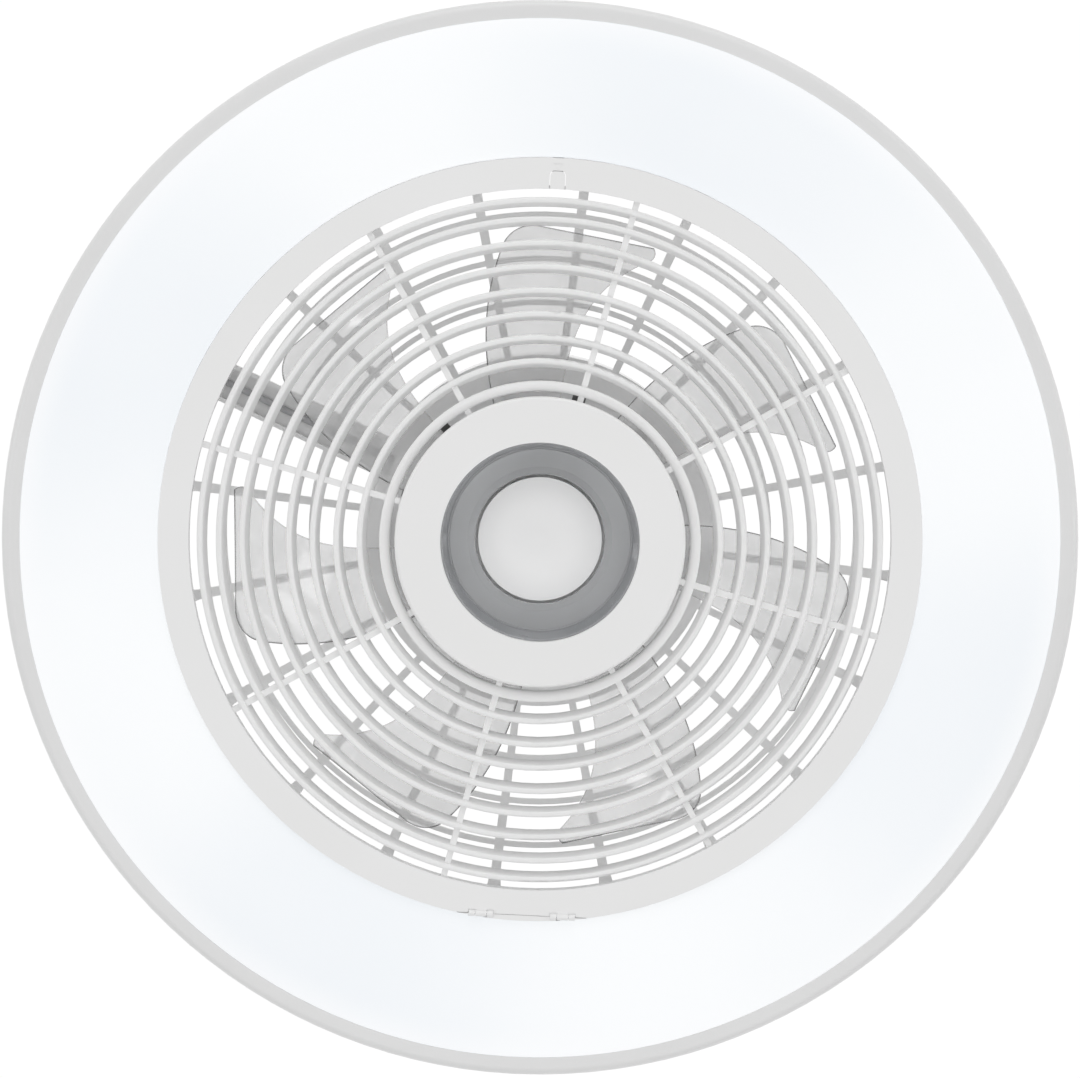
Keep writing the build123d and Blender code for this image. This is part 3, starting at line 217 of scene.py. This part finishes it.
def place_group(tree, group, values):
    """One use of a node group, with its own values."""
    node = tree.nodes.new("ShaderNodeGroup")
    node.node_tree = group
    for title, value in values.items():
        feed(tree, value, node.inputs[title])
    return node.outputs


def own_place(tree):
    """Where a point is on its own piece, and which way its surface faces there."""
    place = tree.nodes.new("ShaderNodeTexCoord")
    return place.outputs["Object"], place.outputs["Normal"]


def spread_over(tree, value, low, high, first, last):
    """A value's range from low to high, spread from first to last and held beyond."""
    node = tree.nodes.new("ShaderNodeMapRange")
    node.interpolation_type = "SMOOTHSTEP"
    for item, socket in zip((value, low, high, first, last), node.inputs):
        feed(tree, item, socket)
    return node.outputs["Result"]


def mixed_colour(tree, share, first, second):
    """Two colours, the second one by the share given."""
    node = tree.nodes.new("ShaderNodeMix")
    node.data_type = "RGBA"
    colours = [socket for socket in node.inputs if socket.type == "RGBA"]
    feed(tree, share, node.inputs[0])
    feed(tree, first, colours[0])
    feed(tree, second, colours[1])
    return next(socket for socket in node.outputs if socket.type == "RGBA")


def speckle(tree, place, scale, detail):
    """Soft noise on the piece; the scale is how many lumps lie on one metre."""
    node = tree.nodes.new("ShaderNodeTexNoise")
    node.inputs["Detail"].default_value = detail
    feed(tree, place, node.inputs["Vector"])
    feed(tree, scale, node.inputs["Scale"])
    return node.outputs["Fac"]


worked_skin, given, made = start_group(
    "worked_skin",
    {"Colour": tone, "Shade": tone, "Clouds": number, "Grain": number,
     "Roughness": number, "Unevenness": number},
    {"Colour": tone, "Roughness": number, "Height": number})
place, _ = own_place(worked_skin)
cloud = speckle(worked_skin, place, given["Clouds"], cloud_detail)
cloud = spread_over(worked_skin, cloud, *cloud_band, 0.0, 1.0)
feed(worked_skin, mixed_colour(worked_skin, cloud, given["Colour"], given["Shade"]), made["Colour"])
patch_scale = sum_of(worked_skin, "MULTIPLY", given["Clouds"], patch_fineness)
patch = speckle(worked_skin, place, patch_scale, patch_detail)
patch = sum_of(worked_skin, "SUBTRACT", patch, patch_middle)
patch = sum_of(worked_skin, "MULTIPLY_ADD", patch, given["Unevenness"], given["Roughness"])
feed(worked_skin, patch, made["Roughness"])
feed(worked_skin, speckle(worked_skin, place, given["Grain"], grain_detail), made["Height"])


def finish_with(name, colour, shade, roughness, unevenness, clouds, grain, depth, metallic=0.0, relief=None):
    """A solid finish on the worked skin; relief is one more height to press into it."""
    material, tree, surface = new_material(name)
    skin = place_group(tree, worked_skin, {"Colour": colour, "Shade": shade, "Clouds": clouds, "Grain": grain,
                                           "Roughness": roughness, "Unevenness": unevenness})
    height = skin["Height"]
    if relief:
        height = sum_of(tree, "ADD", height, relief(tree))
    bump = tree.nodes.new("ShaderNodeBump")
    bump.inputs["Distance"].default_value = depth
    feed(tree, height, bump.inputs["Height"])
    shader = tree.nodes.new("ShaderNodeBsdfPrincipled")
    shader.inputs["Metallic"].default_value = metallic
    feed(tree, skin["Colour"], shader.inputs["Base Color"])
    feed(tree, skin["Roughness"], shader.inputs["Roughness"])
    feed(tree, bump.outputs["Normal"], shader.inputs["Normal"])
    feed(tree, shader.outputs["BSDF"], surface)
    return material, tree, shader


def coat(material, *names):
    """Puts one material all over the CAD nodes named."""
    for name in names:
        slots = nodes[name].data.materials
        slots.clear()
        slots.append(material)


zinc_plate, _, _ = finish_with("zinc_plate", zinc, zinc_shade, roughness=0.33, unevenness=0.22,
                               clouds=70.0, grain=900.0, depth=0.00002, metallic=1.0)
coat(zinc_plate, "ceiling_bracket", "ground_screw")

# The canopy is a shallow pan of steel sheet, deep drawn and powder coated white.
# Its floor has the vents round the rotor, and two screws hold it to the bracket's ears.
powder_white = (0.88, 0.88, 0.88, 1)
powder_shade = (0.865, 0.867, 0.87, 1)
powder_gloss = 0.15
powder_coat, _, powder_shader = finish_with("powder_coat", powder_white, powder_shade, roughness=0.38,
                                            unevenness=0.10, clouds=14.0, grain=620.0, depth=0.00006)
powder_shader.inputs["Coat Weight"].default_value = powder_gloss
coat(powder_coat, "canopy")
coat(zinc_plate, "canopy_screws")

# The terminal block is a strip of off-white polyamide with three wire ports.
# It stands on the canopy's floor beside the driver.
terminal_white = (0.72, 0.70, 0.65, 1)
terminal_shade = (0.67, 0.65, 0.60, 1)
terminal_nylon, _, _ = finish_with("terminal_nylon", terminal_white, terminal_shade, roughness=0.5,
                                   unevenness=0.12, clouds=90.0, grain=1500.0, depth=0.00004)
coat(terminal_nylon, "terminal_block")

# The driver feeds the motor and the lights. Its case and lid are moulded in white
# plastic that doesn't burn, slightly warmer and duller than the cover.
case_white = (0.74, 0.73, 0.71, 1)
case_shade = (0.70, 0.69, 0.665, 1)
case_plastic, _, _ = finish_with("case_plastic", case_white, case_shade, roughness=0.55,
                                 unevenness=0.14, clouds=55.0, grain=1100.0, depth=0.00007)
coat(case_plastic, "driver_case", "driver_lid")

# The driver's board is green, with broad tracks under its solder mask.
# Black sleeved parts stand on it, and their tops are bare.
mask_green = (0.03, 0.20, 0.085, 1)
mask_shade = (0.05, 0.29, 0.12, 1)
sleeve_black = (0.035, 0.035, 0.038, 1)
sleeve_shade = (0.06, 0.06, 0.062, 1)
bare_top = (0.42, 0.42, 0.43, 1)
top_slopes = (0.6, 0.9)
track_pitch = 0.0042
track_bend = 2.5
track_edge = (0.42, 0.58)
track_rise = 1.5
wave_cycle = 0.314

board_tracks, given, made = start_group("board_tracks", {"Pitch": number}, {"Height": number})
place, _ = own_place(board_tracks)
wave = board_tracks.nodes.new("ShaderNodeTexWave")
wave.bands_direction = "Y"
wave.inputs["Distortion"].default_value = track_bend
feed(board_tracks, place, wave.inputs["Vector"])
feed(board_tracks, sum_of(board_tracks, "DIVIDE", wave_cycle, given["Pitch"]), wave.inputs["Scale"])
track = spread_over(board_tracks, wave.outputs["Fac"], *track_edge, 0.0, track_rise)
feed(board_tracks, track, made["Height"])


def wavy_tracks(tree):
    """Long tracks side by side, as a height."""
    return place_group(tree, board_tracks, {"Pitch": track_pitch})["Height"]


def part_of(tree, vector, axis):
    """A place's or a direction's part along X, Y or Z."""
    parts = tree.nodes.new("ShaderNodeSeparateXYZ")
    feed(tree, vector, parts.inputs[0])
    return parts.outputs[axis]


green_board, _, _ = finish_with("green_board", mask_green, mask_shade, roughness=0.32, unevenness=0.1,
                                clouds=260.0, grain=2200.0, depth=0.00004, relief=wavy_tracks)
coat(green_board, "driver_board")
part_sleeves, tree, shader = finish_with("part_sleeves", sleeve_black, sleeve_shade, roughness=0.36,
                                         unevenness=0.12, clouds=120.0, grain=1800.0, depth=0.00003)
_, normal = own_place(tree)
top_share = spread_over(tree, part_of(tree, normal, "Z"), *top_slopes, 0.0, 1.0)
sleeve_colour = shader.inputs["Base Color"].links[0].from_socket
feed(tree, mixed_colour(tree, top_share, sleeve_colour, bare_top), shader.inputs["Base Color"])
coat(part_sleeves, "driver_parts")

# The upper grille is the cage over the blades, and carries the ring light. It is one
# white moulding of ribs, rings and the wire channel, screwed to the canopy's floor.
grille_white = (0.90, 0.90, 0.90, 1)
grille_shade = (0.885, 0.885, 0.883, 1)
dust_tone = (0.60, 0.58, 0.54, 1)
dust_amount = 0.22
dusty_slopes = (0.45, 0.95)
fleck_scale = 160.0
fleck_detail = 5.0
fleck_band = (0.35, 0.7)
fleck_least = 0.3

settled_dust, given, made = start_group("settled_dust", {"Colour": tone, "Dust": tone, "Amount": number},
                                        {"Colour": tone})
place, normal = own_place(settled_dust)
upward = spread_over(settled_dust, part_of(settled_dust, normal, "Z"), *dusty_slopes, 0.0, 1.0)
fleck = speckle(settled_dust, place, fleck_scale, fleck_detail)
fleck = spread_over(settled_dust, fleck, *fleck_band, fleck_least, 1.0)
lying = sum_of(settled_dust, "MULTIPLY", sum_of(settled_dust, "MULTIPLY", upward, fleck), given["Amount"])
feed(settled_dust, mixed_colour(settled_dust, lying, given["Colour"], given["Dust"]), made["Colour"])


def let_dust_settle(tree, shader):
    """Lays dust over what colours a shader, on the faces that look up."""
    under = shader.inputs["Base Color"].links[0].from_socket
    dusty = place_group(tree, settled_dust, {"Colour": under, "Dust": dust_tone, "Amount": dust_amount})
    feed(tree, dusty["Colour"], shader.inputs["Base Color"])


grille_plastic, tree, shader = finish_with("grille_plastic", grille_white, grille_shade, roughness=0.46,
                                           unevenness=0.12, clouds=16.0, grain=1300.0, depth=0.00005)
let_dust_settle(tree, shader)
coat(grille_plastic, "upper_grille")
coat(zinc_plate, "grille_screws")

# The light's lead is a grey sheathed cable, laid in the channel and led down to the
# boards. A rubber grommet guards it where it goes through the ring light's roof.
sheath_grey = (0.46, 0.46, 0.47, 1)
sheath_shade = (0.41, 0.41, 0.42, 1)
rubber_black = (0.055, 0.055, 0.056, 1)
rubber_shade = (0.085, 0.084, 0.082, 1)
cable_sheath, _, _ = finish_with("cable_sheath", sheath_grey, sheath_shade, roughness=0.48,
                                 unevenness=0.15, clouds=130.0, grain=1900.0, depth=0.00004)
grommet_rubber, _, _ = finish_with("grommet_rubber", rubber_black, rubber_shade, roughness=0.7,
                                   unevenness=0.15, clouds=200.0, grain=1700.0, depth=0.00006)
coat(cable_sheath, "light_lead")
coat(grommet_rubber, "lead_grommet")

# The light chassis is a ring of pressed steel sheet, powder coated white.
# Ten screws hold it to the grille's foot ring, and it carries the ring light's boards.
chassis_coat, tree, shader = finish_with("chassis_coat", powder_white, powder_shade, roughness=0.36,
                                         unevenness=0.10, clouds=9.0, grain=620.0, depth=0.00007)
let_dust_settle(tree, shader)
coat(chassis_coat, "light_chassis")
coat(zinc_plate, "cage_screws")

# The ring light has four curved boards, white over aluminium, each with rows of
# small lights. A light is a white cup full of yellow phosphor that looks down.
board_white = (0.86, 0.86, 0.85, 1)
board_shade = (0.81, 0.81, 0.80, 1)
phosphor = (0.86, 0.72, 0.22, 1)
cup_white = (0.82, 0.81, 0.78, 1)
phosphor_slopes = (-0.9, -0.6)
light_board, _, _ = finish_with("light_board", board_white, board_shade, roughness=0.34, unevenness=0.1,
                                clouds=110.0, grain=2000.0, depth=0.00002, relief=wavy_tracks)
coat(light_board, "led_boards")
chip_faces, tree, shader = finish_with("chip_faces", cup_white, phosphor, roughness=0.4,
                                       unevenness=0.08, clouds=900.0, grain=3000.0, depth=0.00002)
_, normal = own_place(tree)
below_share = spread_over(tree, part_of(tree, normal, "Z"), *phosphor_slopes, 1.0, 0.0)
feed(tree, mixed_colour(tree, below_share, cup_white, phosphor), shader.inputs["Base Color"])
coat(chip_faces, "led_chips")
coat(zinc_plate, "board_screws")

# The diffuser is a broad ring of opal plastic, blown to a shallow crown. It glows
# from the boards behind it, and is a little dimmer over the four gaps between them.
glow_bright = (0.95, 0.975, 0.99, 1)
glow_dim = (0.84, 0.885, 0.925, 1)
glow_rim = (0.97, 0.985, 1.0, 1)
glow_strength = 0.60
opal_white = (0.43, 0.43, 0.435, 1)
opal_shade = (0.415, 0.418, 0.425, 1)
board_gaps = 4
gap_angle = radians(22.2)
gap_fade = 1.2
drift_scale = 6.0
drift_detail = 1.0
drift_swing = 1.1
rim_band = 0.022
rim_most = 0.8
diffuser_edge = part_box("diffuser")[1].x


def from_axis(tree, place):
    """How far a point lies from the fan's axis."""
    level = tree.nodes.new("ShaderNodeVectorMath")
    level.operation = "MULTIPLY"
    level.inputs[1].default_value = (1, 1, 0)
    feed(tree, place, level.inputs[0])
    length = tree.nodes.new("ShaderNodeVectorMath")
    length.operation = "LENGTH"
    feed(tree, level.outputs[0], length.inputs[0])
    return length.outputs["Value"]


opal_plastic, tree, shader = finish_with("opal_plastic", opal_white, opal_shade, roughness=0.42,
                                         unevenness=0.06, clouds=7.0, grain=700.0, depth=0.00001)
place, _ = own_place(tree)
angle = sum_of(tree, "ARCTAN2", part_of(tree, place, "Y"), part_of(tree, place, "X"))
wave = sum_of(tree, "COSINE", sum_of(tree, "MULTIPLY_ADD", angle, board_gaps, -board_gaps * gap_angle))
drift = speckle(tree, place, drift_scale, drift_detail)
drift = sum_of(tree, "MULTIPLY_ADD", drift, drift_swing, -drift_swing / 2)
dim_share = spread_over(tree, sum_of(tree, "ADD", wave, drift), -gap_fade, gap_fade, 0.0, 1.0)
patchy = mixed_colour(tree, dim_share, glow_bright, glow_dim)
rim_share = spread_over(tree, from_axis(tree, place), diffuser_edge - rim_band, diffuser_edge, 0.0, rim_most)
feed(tree, mixed_colour(tree, rim_share, patchy, glow_rim), shader.inputs["Emission Color"])
shader.inputs["Emission Strength"].default_value = glow_strength
coat(opal_plastic, "diffuser")

# The trim ring closes the light's outer edge. It is rolled aluminium, painted in
# satin white and screwed to the chassis from the side, so its screws don't show below.
trim_white = (0.79, 0.79, 0.79, 1)
trim_shade = (0.775, 0.775, 0.775, 1)
trim_paint, tree, shader = finish_with("trim_paint", trim_white, trim_shade, roughness=0.33,
                                       unevenness=0.08, clouds=11.0, grain=800.0, depth=0.00004)
let_dust_settle(tree, shader)
coat(trim_paint, "trim_ring")
coat(zinc_plate, "trim_screws")

# The motor's shaft is a turned steel tube with a flange, screwed under the canopy.
# It stands still, the lamp's lead runs down in it, and a circlip holds the rotor on.
shaft_tone = (0.56, 0.56, 0.57, 1)
shaft_shade = (0.48, 0.48, 0.49, 1)
spring_tone = (0.30, 0.30, 0.31, 1)
spring_shade = (0.22, 0.21, 0.21, 1)
lathe_pitch = 0.0005

lathe_lines, given, made = start_group("lathe_lines", {"Pitch": number}, {"Height": number})
place, normal = own_place(lathe_lines)
flat_share = sum_of(lathe_lines, "ABSOLUTE", part_of(lathe_lines, normal, "Z"))
turns = sum_of(lathe_lines, "DIVIDE", 2 * pi, given["Pitch"])
ring_wave = sum_of(lathe_lines, "MULTIPLY", from_axis(lathe_lines, place), turns)
ring_wave = sum_of(lathe_lines, "MULTIPLY", sum_of(lathe_lines, "SINE", ring_wave), flat_share)
side_share = sum_of(lathe_lines, "SUBTRACT", 1.0, flat_share)
side_wave = sum_of(lathe_lines, "MULTIPLY", part_of(lathe_lines, place, "Z"), turns)
side_wave = sum_of(lathe_lines, "MULTIPLY", sum_of(lathe_lines, "SINE", side_wave), side_share)
feed(lathe_lines, sum_of(lathe_lines, "ADD", ring_wave, side_wave), made["Height"])


def lathe_marks(tree):
    """Fine lines from the turning tool, round the fan's axis."""
    return place_group(tree, lathe_lines, {"Pitch": lathe_pitch})["Height"]


turned_steel, _, _ = finish_with("turned_steel", shaft_tone, shaft_shade, roughness=0.26, unevenness=0.10,
                                 clouds=80.0, grain=1200.0, depth=0.00001, metallic=1.0, relief=lathe_marks)
coat(turned_steel, "motor_shaft")
spring_steel, _, _ = finish_with("spring_steel", spring_tone, spring_shade, roughness=0.35, unevenness=0.15,
                                 clouds=160.0, grain=1500.0, depth=0.00001, metallic=1.0)
coat(spring_steel, "shaft_circlip")
coat(zinc_plate, "shaft_screws")

# Two deep groove ball bearings carry the rotor on the shaft, each with two ground
# races and nine polished balls.
race_tone = (0.66, 0.66, 0.67, 1)
race_shade = (0.60, 0.60, 0.62, 1)
ball_tone = (0.72, 0.72, 0.73, 1)
ball_shade = (0.68, 0.68, 0.70, 1)
ground_steel, _, _ = finish_with("ground_steel", race_tone, race_shade, roughness=0.14, unevenness=0.06,
                                 clouds=140.0, grain=2400.0, depth=0.000004, metallic=1.0, relief=lathe_marks)
polished_steel, _, _ = finish_with("polished_steel", ball_tone, ball_shade, roughness=0.06, unevenness=0.03,
                                   clouds=300.0, grain=2000.0, depth=0.000001, metallic=1.0)
coat(ground_steel, "inner_races", "outer_races")
coat(polished_steel, "bearing_balls")

# The stator is a stack of punched sheets with twelve teeth, pressed on the shaft.
# Each tooth is wound with enamelled copper wire, and the turns lie side by side.
sheet_pitch = 0.0005
wire_pitch = 0.0008
wire_rise = 3.0
sheet_tone = (0.33, 0.33, 0.34, 1)
sheet_shade = (0.25, 0.25, 0.27, 1)
copper = (0.66, 0.28, 0.12, 1)
copper_shade = (0.50, 0.19, 0.08, 1)


def stacked_sheets(tree):
    """The edges of the sheets, as lines one above another."""
    place, _ = own_place(tree)
    return sum_of(tree, "SINE", sum_of(tree, "MULTIPLY", part_of(tree, place, "Z"), 2 * pi / sheet_pitch))


def wound_turns(tree):
    """The turns of wire on the teeth, as lines one beside another from the axis outwards."""
    place, _ = own_place(tree)
    wave = sum_of(tree, "SINE", sum_of(tree, "MULTIPLY", from_axis(tree, place), pi / wire_pitch))
    return sum_of(tree, "MULTIPLY", sum_of(tree, "ABSOLUTE", wave), wire_rise)


stator_sheets, _, _ = finish_with("stator_sheets", sheet_tone, sheet_shade, roughness=0.42, unevenness=0.15,
                                  clouds=150.0, grain=1600.0, depth=0.00003, metallic=1.0,
                                  relief=stacked_sheets)
enamelled_copper, _, _ = finish_with("enamelled_copper", copper, copper_shade, roughness=0.28,
                                     unevenness=0.12, clouds=240.0, grain=1800.0, depth=0.00012,
                                     metallic=0.8, relief=wound_turns)
coat(stator_sheets, "stator_core")
coat(enamelled_copper, "windings")

# The rotor runs outside the stator. Its cover and shell are turned from zinc plated
# steel and screwed together, and fourteen ferrite magnets are glued inside the wall.
ferrite = (0.075, 0.075, 0.08, 1)
ferrite_shade = (0.11, 0.11, 0.115, 1)
turned_zinc, _, _ = finish_with("turned_zinc", zinc, zinc_shade, roughness=0.30, unevenness=0.18,
                                clouds=40.0, grain=1000.0, depth=0.000012, metallic=1.0, relief=lathe_marks)
fired_ferrite, _, _ = finish_with("fired_ferrite", ferrite, ferrite_shade, roughness=0.62,
                                  unevenness=0.2, clouds=260.0, grain=1400.0, depth=0.00006)
coat(turned_zinc, "rotor_cover", "rotor_shell")
coat(zinc_plate, "rotor_screws")
coat(fired_ferrite, "magnets")

# The blade hub is a white drum, moulded in one and hung under the rotor to carry the
# blades. Six screws hold it to the shell, and it turns with the rotor.
hub_plastic, tree, shader = finish_with("hub_plastic", grille_white, grille_shade, roughness=0.44,
                                        unevenness=0.12, clouds=24.0, grain=1200.0, depth=0.00005)
let_dust_settle(tree, shader)
coat(hub_plastic, "blade_hub")
coat(zinc_plate, "hub_screws")

# The seven blades are clear plastic with a faint milky haze, each moulded thin and
# twisted in one with its curved pad. The faces are polished, the square edges are
# painted dark as painted shade, and two screws hold each pad on the hub.
blade_count = 7
blade_tint = (0.92, 0.92, 0.92, 1)
blade_edge_shade = (0.13, 0.13, 0.135, 1)
clear_shadow = (0.91, 0.91, 0.91, 1)
plastic_bend = 1.49
polish = 0.02
steep_fade = 0.1
contour_band = (0.80, 0.97)
flow_scale = 22.0
flow_detail = 2.0
flow_band = (0.3, 0.7)
flow_least = 0.94
ripple_scale = 30.0
ripple_detail = 1.0

# The clear sheet paints its edges and steep faces in the edge colour: painted shade where clear plastic looks
# dark.
clear_sheet, given, made = start_group(
    "clear_sheet", {"Face": tone, "Edge": tone, "Steepness": number, "Contour": number},
    {"Colour": tone, "Height": number})
place, normal = own_place(clear_sheet)
flatness = sum_of(clear_sheet, "ABSOLUTE", part_of(clear_sheet, normal, "Z"))
fade_start = sum_of(clear_sheet, "SUBTRACT", given["Steepness"], steep_fade)
steep_shade_share = spread_over(clear_sheet, flatness, fade_start, given["Steepness"], 1.0, 0.0)
flow = speckle(clear_sheet, place, flow_scale, flow_detail)
flow = spread_over(clear_sheet, flow, *flow_band, flow_least, 1.0)
flow_tone = clear_sheet.nodes.new("ShaderNodeVectorMath")
flow_tone.operation = "SCALE"
feed(clear_sheet, given["Face"], flow_tone.inputs[0])
feed(clear_sheet, flow, flow_tone.inputs["Scale"])
rounded_edge = clear_sheet.nodes.new("ShaderNodeBevel")
feed(clear_sheet, given["Contour"], rounded_edge.inputs["Radius"])
face_way = clear_sheet.nodes.new("ShaderNodeNewGeometry")
likeness = clear_sheet.nodes.new("ShaderNodeVectorMath")
likeness.operation = "DOT_PRODUCT"
feed(clear_sheet, rounded_edge.outputs[0], likeness.inputs[0])
feed(clear_sheet, face_way.outputs["Normal"], likeness.inputs[1])
straightness = sum_of(clear_sheet, "ABSOLUTE", likeness.outputs["Value"])
contour_shade_share = spread_over(clear_sheet, straightness, *contour_band, 1.0, 0.0)
edge_shade_share = sum_of(clear_sheet, "MAXIMUM", steep_shade_share, contour_shade_share)
feed(clear_sheet, mixed_colour(clear_sheet, edge_shade_share, flow_tone.outputs[0], given["Edge"]), made["Colour"])
feed(clear_sheet, speckle(clear_sheet, place, ripple_scale, ripple_detail), made["Height"])


def clear_plastic(name, face, edge, steepness, contour, ripple, clearness, relief=None):
    """Clear moulded plastic, with painted shade on its edges, that lets the lamps' light through to what is
    behind it.
    """
    material, tree, surface = new_material(name)
    sheet = place_group(tree, clear_sheet, {"Face": face, "Edge": edge, "Steepness": steepness,
                                            "Contour": contour})
    height = sheet["Height"]
    if relief:
        height = sum_of(tree, "ADD", height, relief(tree))
    bump = tree.nodes.new("ShaderNodeBump")
    bump.inputs["Distance"].default_value = ripple
    feed(tree, height, bump.inputs["Height"])
    shader = tree.nodes.new("ShaderNodeBsdfPrincipled")
    shader.inputs["Roughness"].default_value = polish
    shader.inputs["IOR"].default_value = plastic_bend
    shader.inputs["Transmission Weight"].default_value = clearness
    feed(tree, sheet["Colour"], shader.inputs["Base Color"])
    feed(tree, bump.outputs["Normal"], shader.inputs["Normal"])
    passing = tree.nodes.new("ShaderNodeBsdfTransparent")
    passing.inputs["Color"].default_value = clear_shadow
    shadow = tree.nodes.new("ShaderNodeLightPath").outputs["Is Shadow Ray"]
    feed(tree, mixed_shader(tree, shadow, shader.outputs[0], passing.outputs[0]), surface)
    return material


blade_plastic = clear_plastic("blade_plastic", blade_tint, blade_edge_shade, steepness=0.0, contour=0.0015,
                              ripple=0.0004, clearness=0.72)
for blade in range(1, blade_count + 1):
    coat(blade_plastic, f"blade_{blade}")
coat(zinc_plate, "blade_screws")

# The centre lamp stands still under the rotor. Its base is white plastic on the end
# of the shaft, held by a nut.
lamp_plastic, _, _ = finish_with("lamp_plastic", grille_white, grille_shade, roughness=0.42,
                                 unevenness=0.1, clouds=60.0, grain=1300.0, depth=0.00004)
coat(lamp_plastic, "lamp_base")
coat(zinc_plate, "lamp_nut")

# The lamp's board is white and round, with six small lights, and its grey lead
# comes down the hollow shaft.
coat(light_board, "lamp_board")
coat(chip_faces, "lamp_chips")
coat(cable_sheath, "lamp_lead")

# The lamp's lens is a low dome of frosted opal plastic. Its six small lights are on
# low, and their glow is painted stronger towards the rim, as painted light that lifts the shade there.
lens_white = (0.86, 0.86, 0.86, 1)
lens_shade = (0.85, 0.85, 0.85, 1)
unlit = (0, 0, 0, 1)
lit = (1, 1, 1, 1)
lens_glow = 0.14
middle_fill = 0.56
lens_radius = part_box("lamp_lens")[1].x
rim_fill_start = lens_radius * 0.1
rim_fill_end = lens_radius * 0.7
lens_opal, tree, shader = finish_with("lens_opal", lens_white, lens_shade, roughness=0.36,
                                      unevenness=0.06, clouds=60.0, grain=1500.0, depth=0.00001)
place, _ = own_place(tree)
# Painted light: the glow grows from the middle outwards, to lift the shade at the lens's rim.
rim_fill_share = spread_over(tree, from_axis(tree, place), rim_fill_start, rim_fill_end, middle_fill, 1.0)
feed(tree, mixed_colour(tree, rim_fill_share, unlit, lit), shader.inputs["Emission Color"])
shader.inputs["Emission Strength"].default_value = lens_glow
coat(lens_opal, "lamp_lens")

# The lower cover is one white moulding: the bezel, nine leaning louvre bars that
# follow a shallow dome, and eight spokes behind them. It swings down on its hinge.
cover_white = (0.88, 0.88, 0.88, 1)
cover_shade = (0.87, 0.87, 0.868, 1)
cover_plastic, _, _ = finish_with("cover_plastic", cover_white, cover_shade, roughness=0.42,
                                  unevenness=0.10, clouds=12.0, grain=1400.0, depth=0.00004)
coat(cover_plastic, "cover_grille")

# The hub disc is the round plate in the middle of the cover, moulded on its own
# from the same white plastic and held from behind by four screws.
coat(cover_plastic, "hub_disc")
coat(zinc_plate, "disc_screws")

# The clear cup sits in the disc's opening, as a sloping window round the lamp.
# It is polished clear plastic with a faint smoky tint and one fine bead round its
# throat, and snaps in by six small tabs. Its steep faces are painted darker, as painted shade.
cup_tint = (0.895, 0.905, 0.918, 1)
cup_edge_shade = (0.56, 0.575, 0.60, 1)
bead_radius = 0.0492
bead_half = 0.0006
bead_rise = 2.0


def moulded_bead(tree):
    """A fine raised ring on the cup, as a height."""
    place, _ = own_place(tree)
    away = sum_of(tree, "ABSOLUTE", sum_of(tree, "SUBTRACT", from_axis(tree, place), bead_radius))
    return spread_over(tree, away, 0.0, bead_half, bead_rise, 0.0)


cup_plastic = clear_plastic("cup_plastic", cup_tint, cup_edge_shade, steepness=0.25, contour=0.0,
                            ripple=0.0003, clearness=0.70, relief=moulded_bead)
coat(cup_plastic, "centre_cup")

# The hinge block closes a notch in the bezel's edge and carries the cover's two
# knuckles on steel pins. It is white plastic, screwed to the light's inner wall.
coat(cover_plastic, "hinge_block")
coat(polished_steel, "hinge_pins")
coat(zinc_plate, "hinge_screws")

# The latch tab is a springy tongue in the bezel, across from the hinge. A finger
# presses it in and the cover swings down.
coat(cover_plastic, "latch_tab")
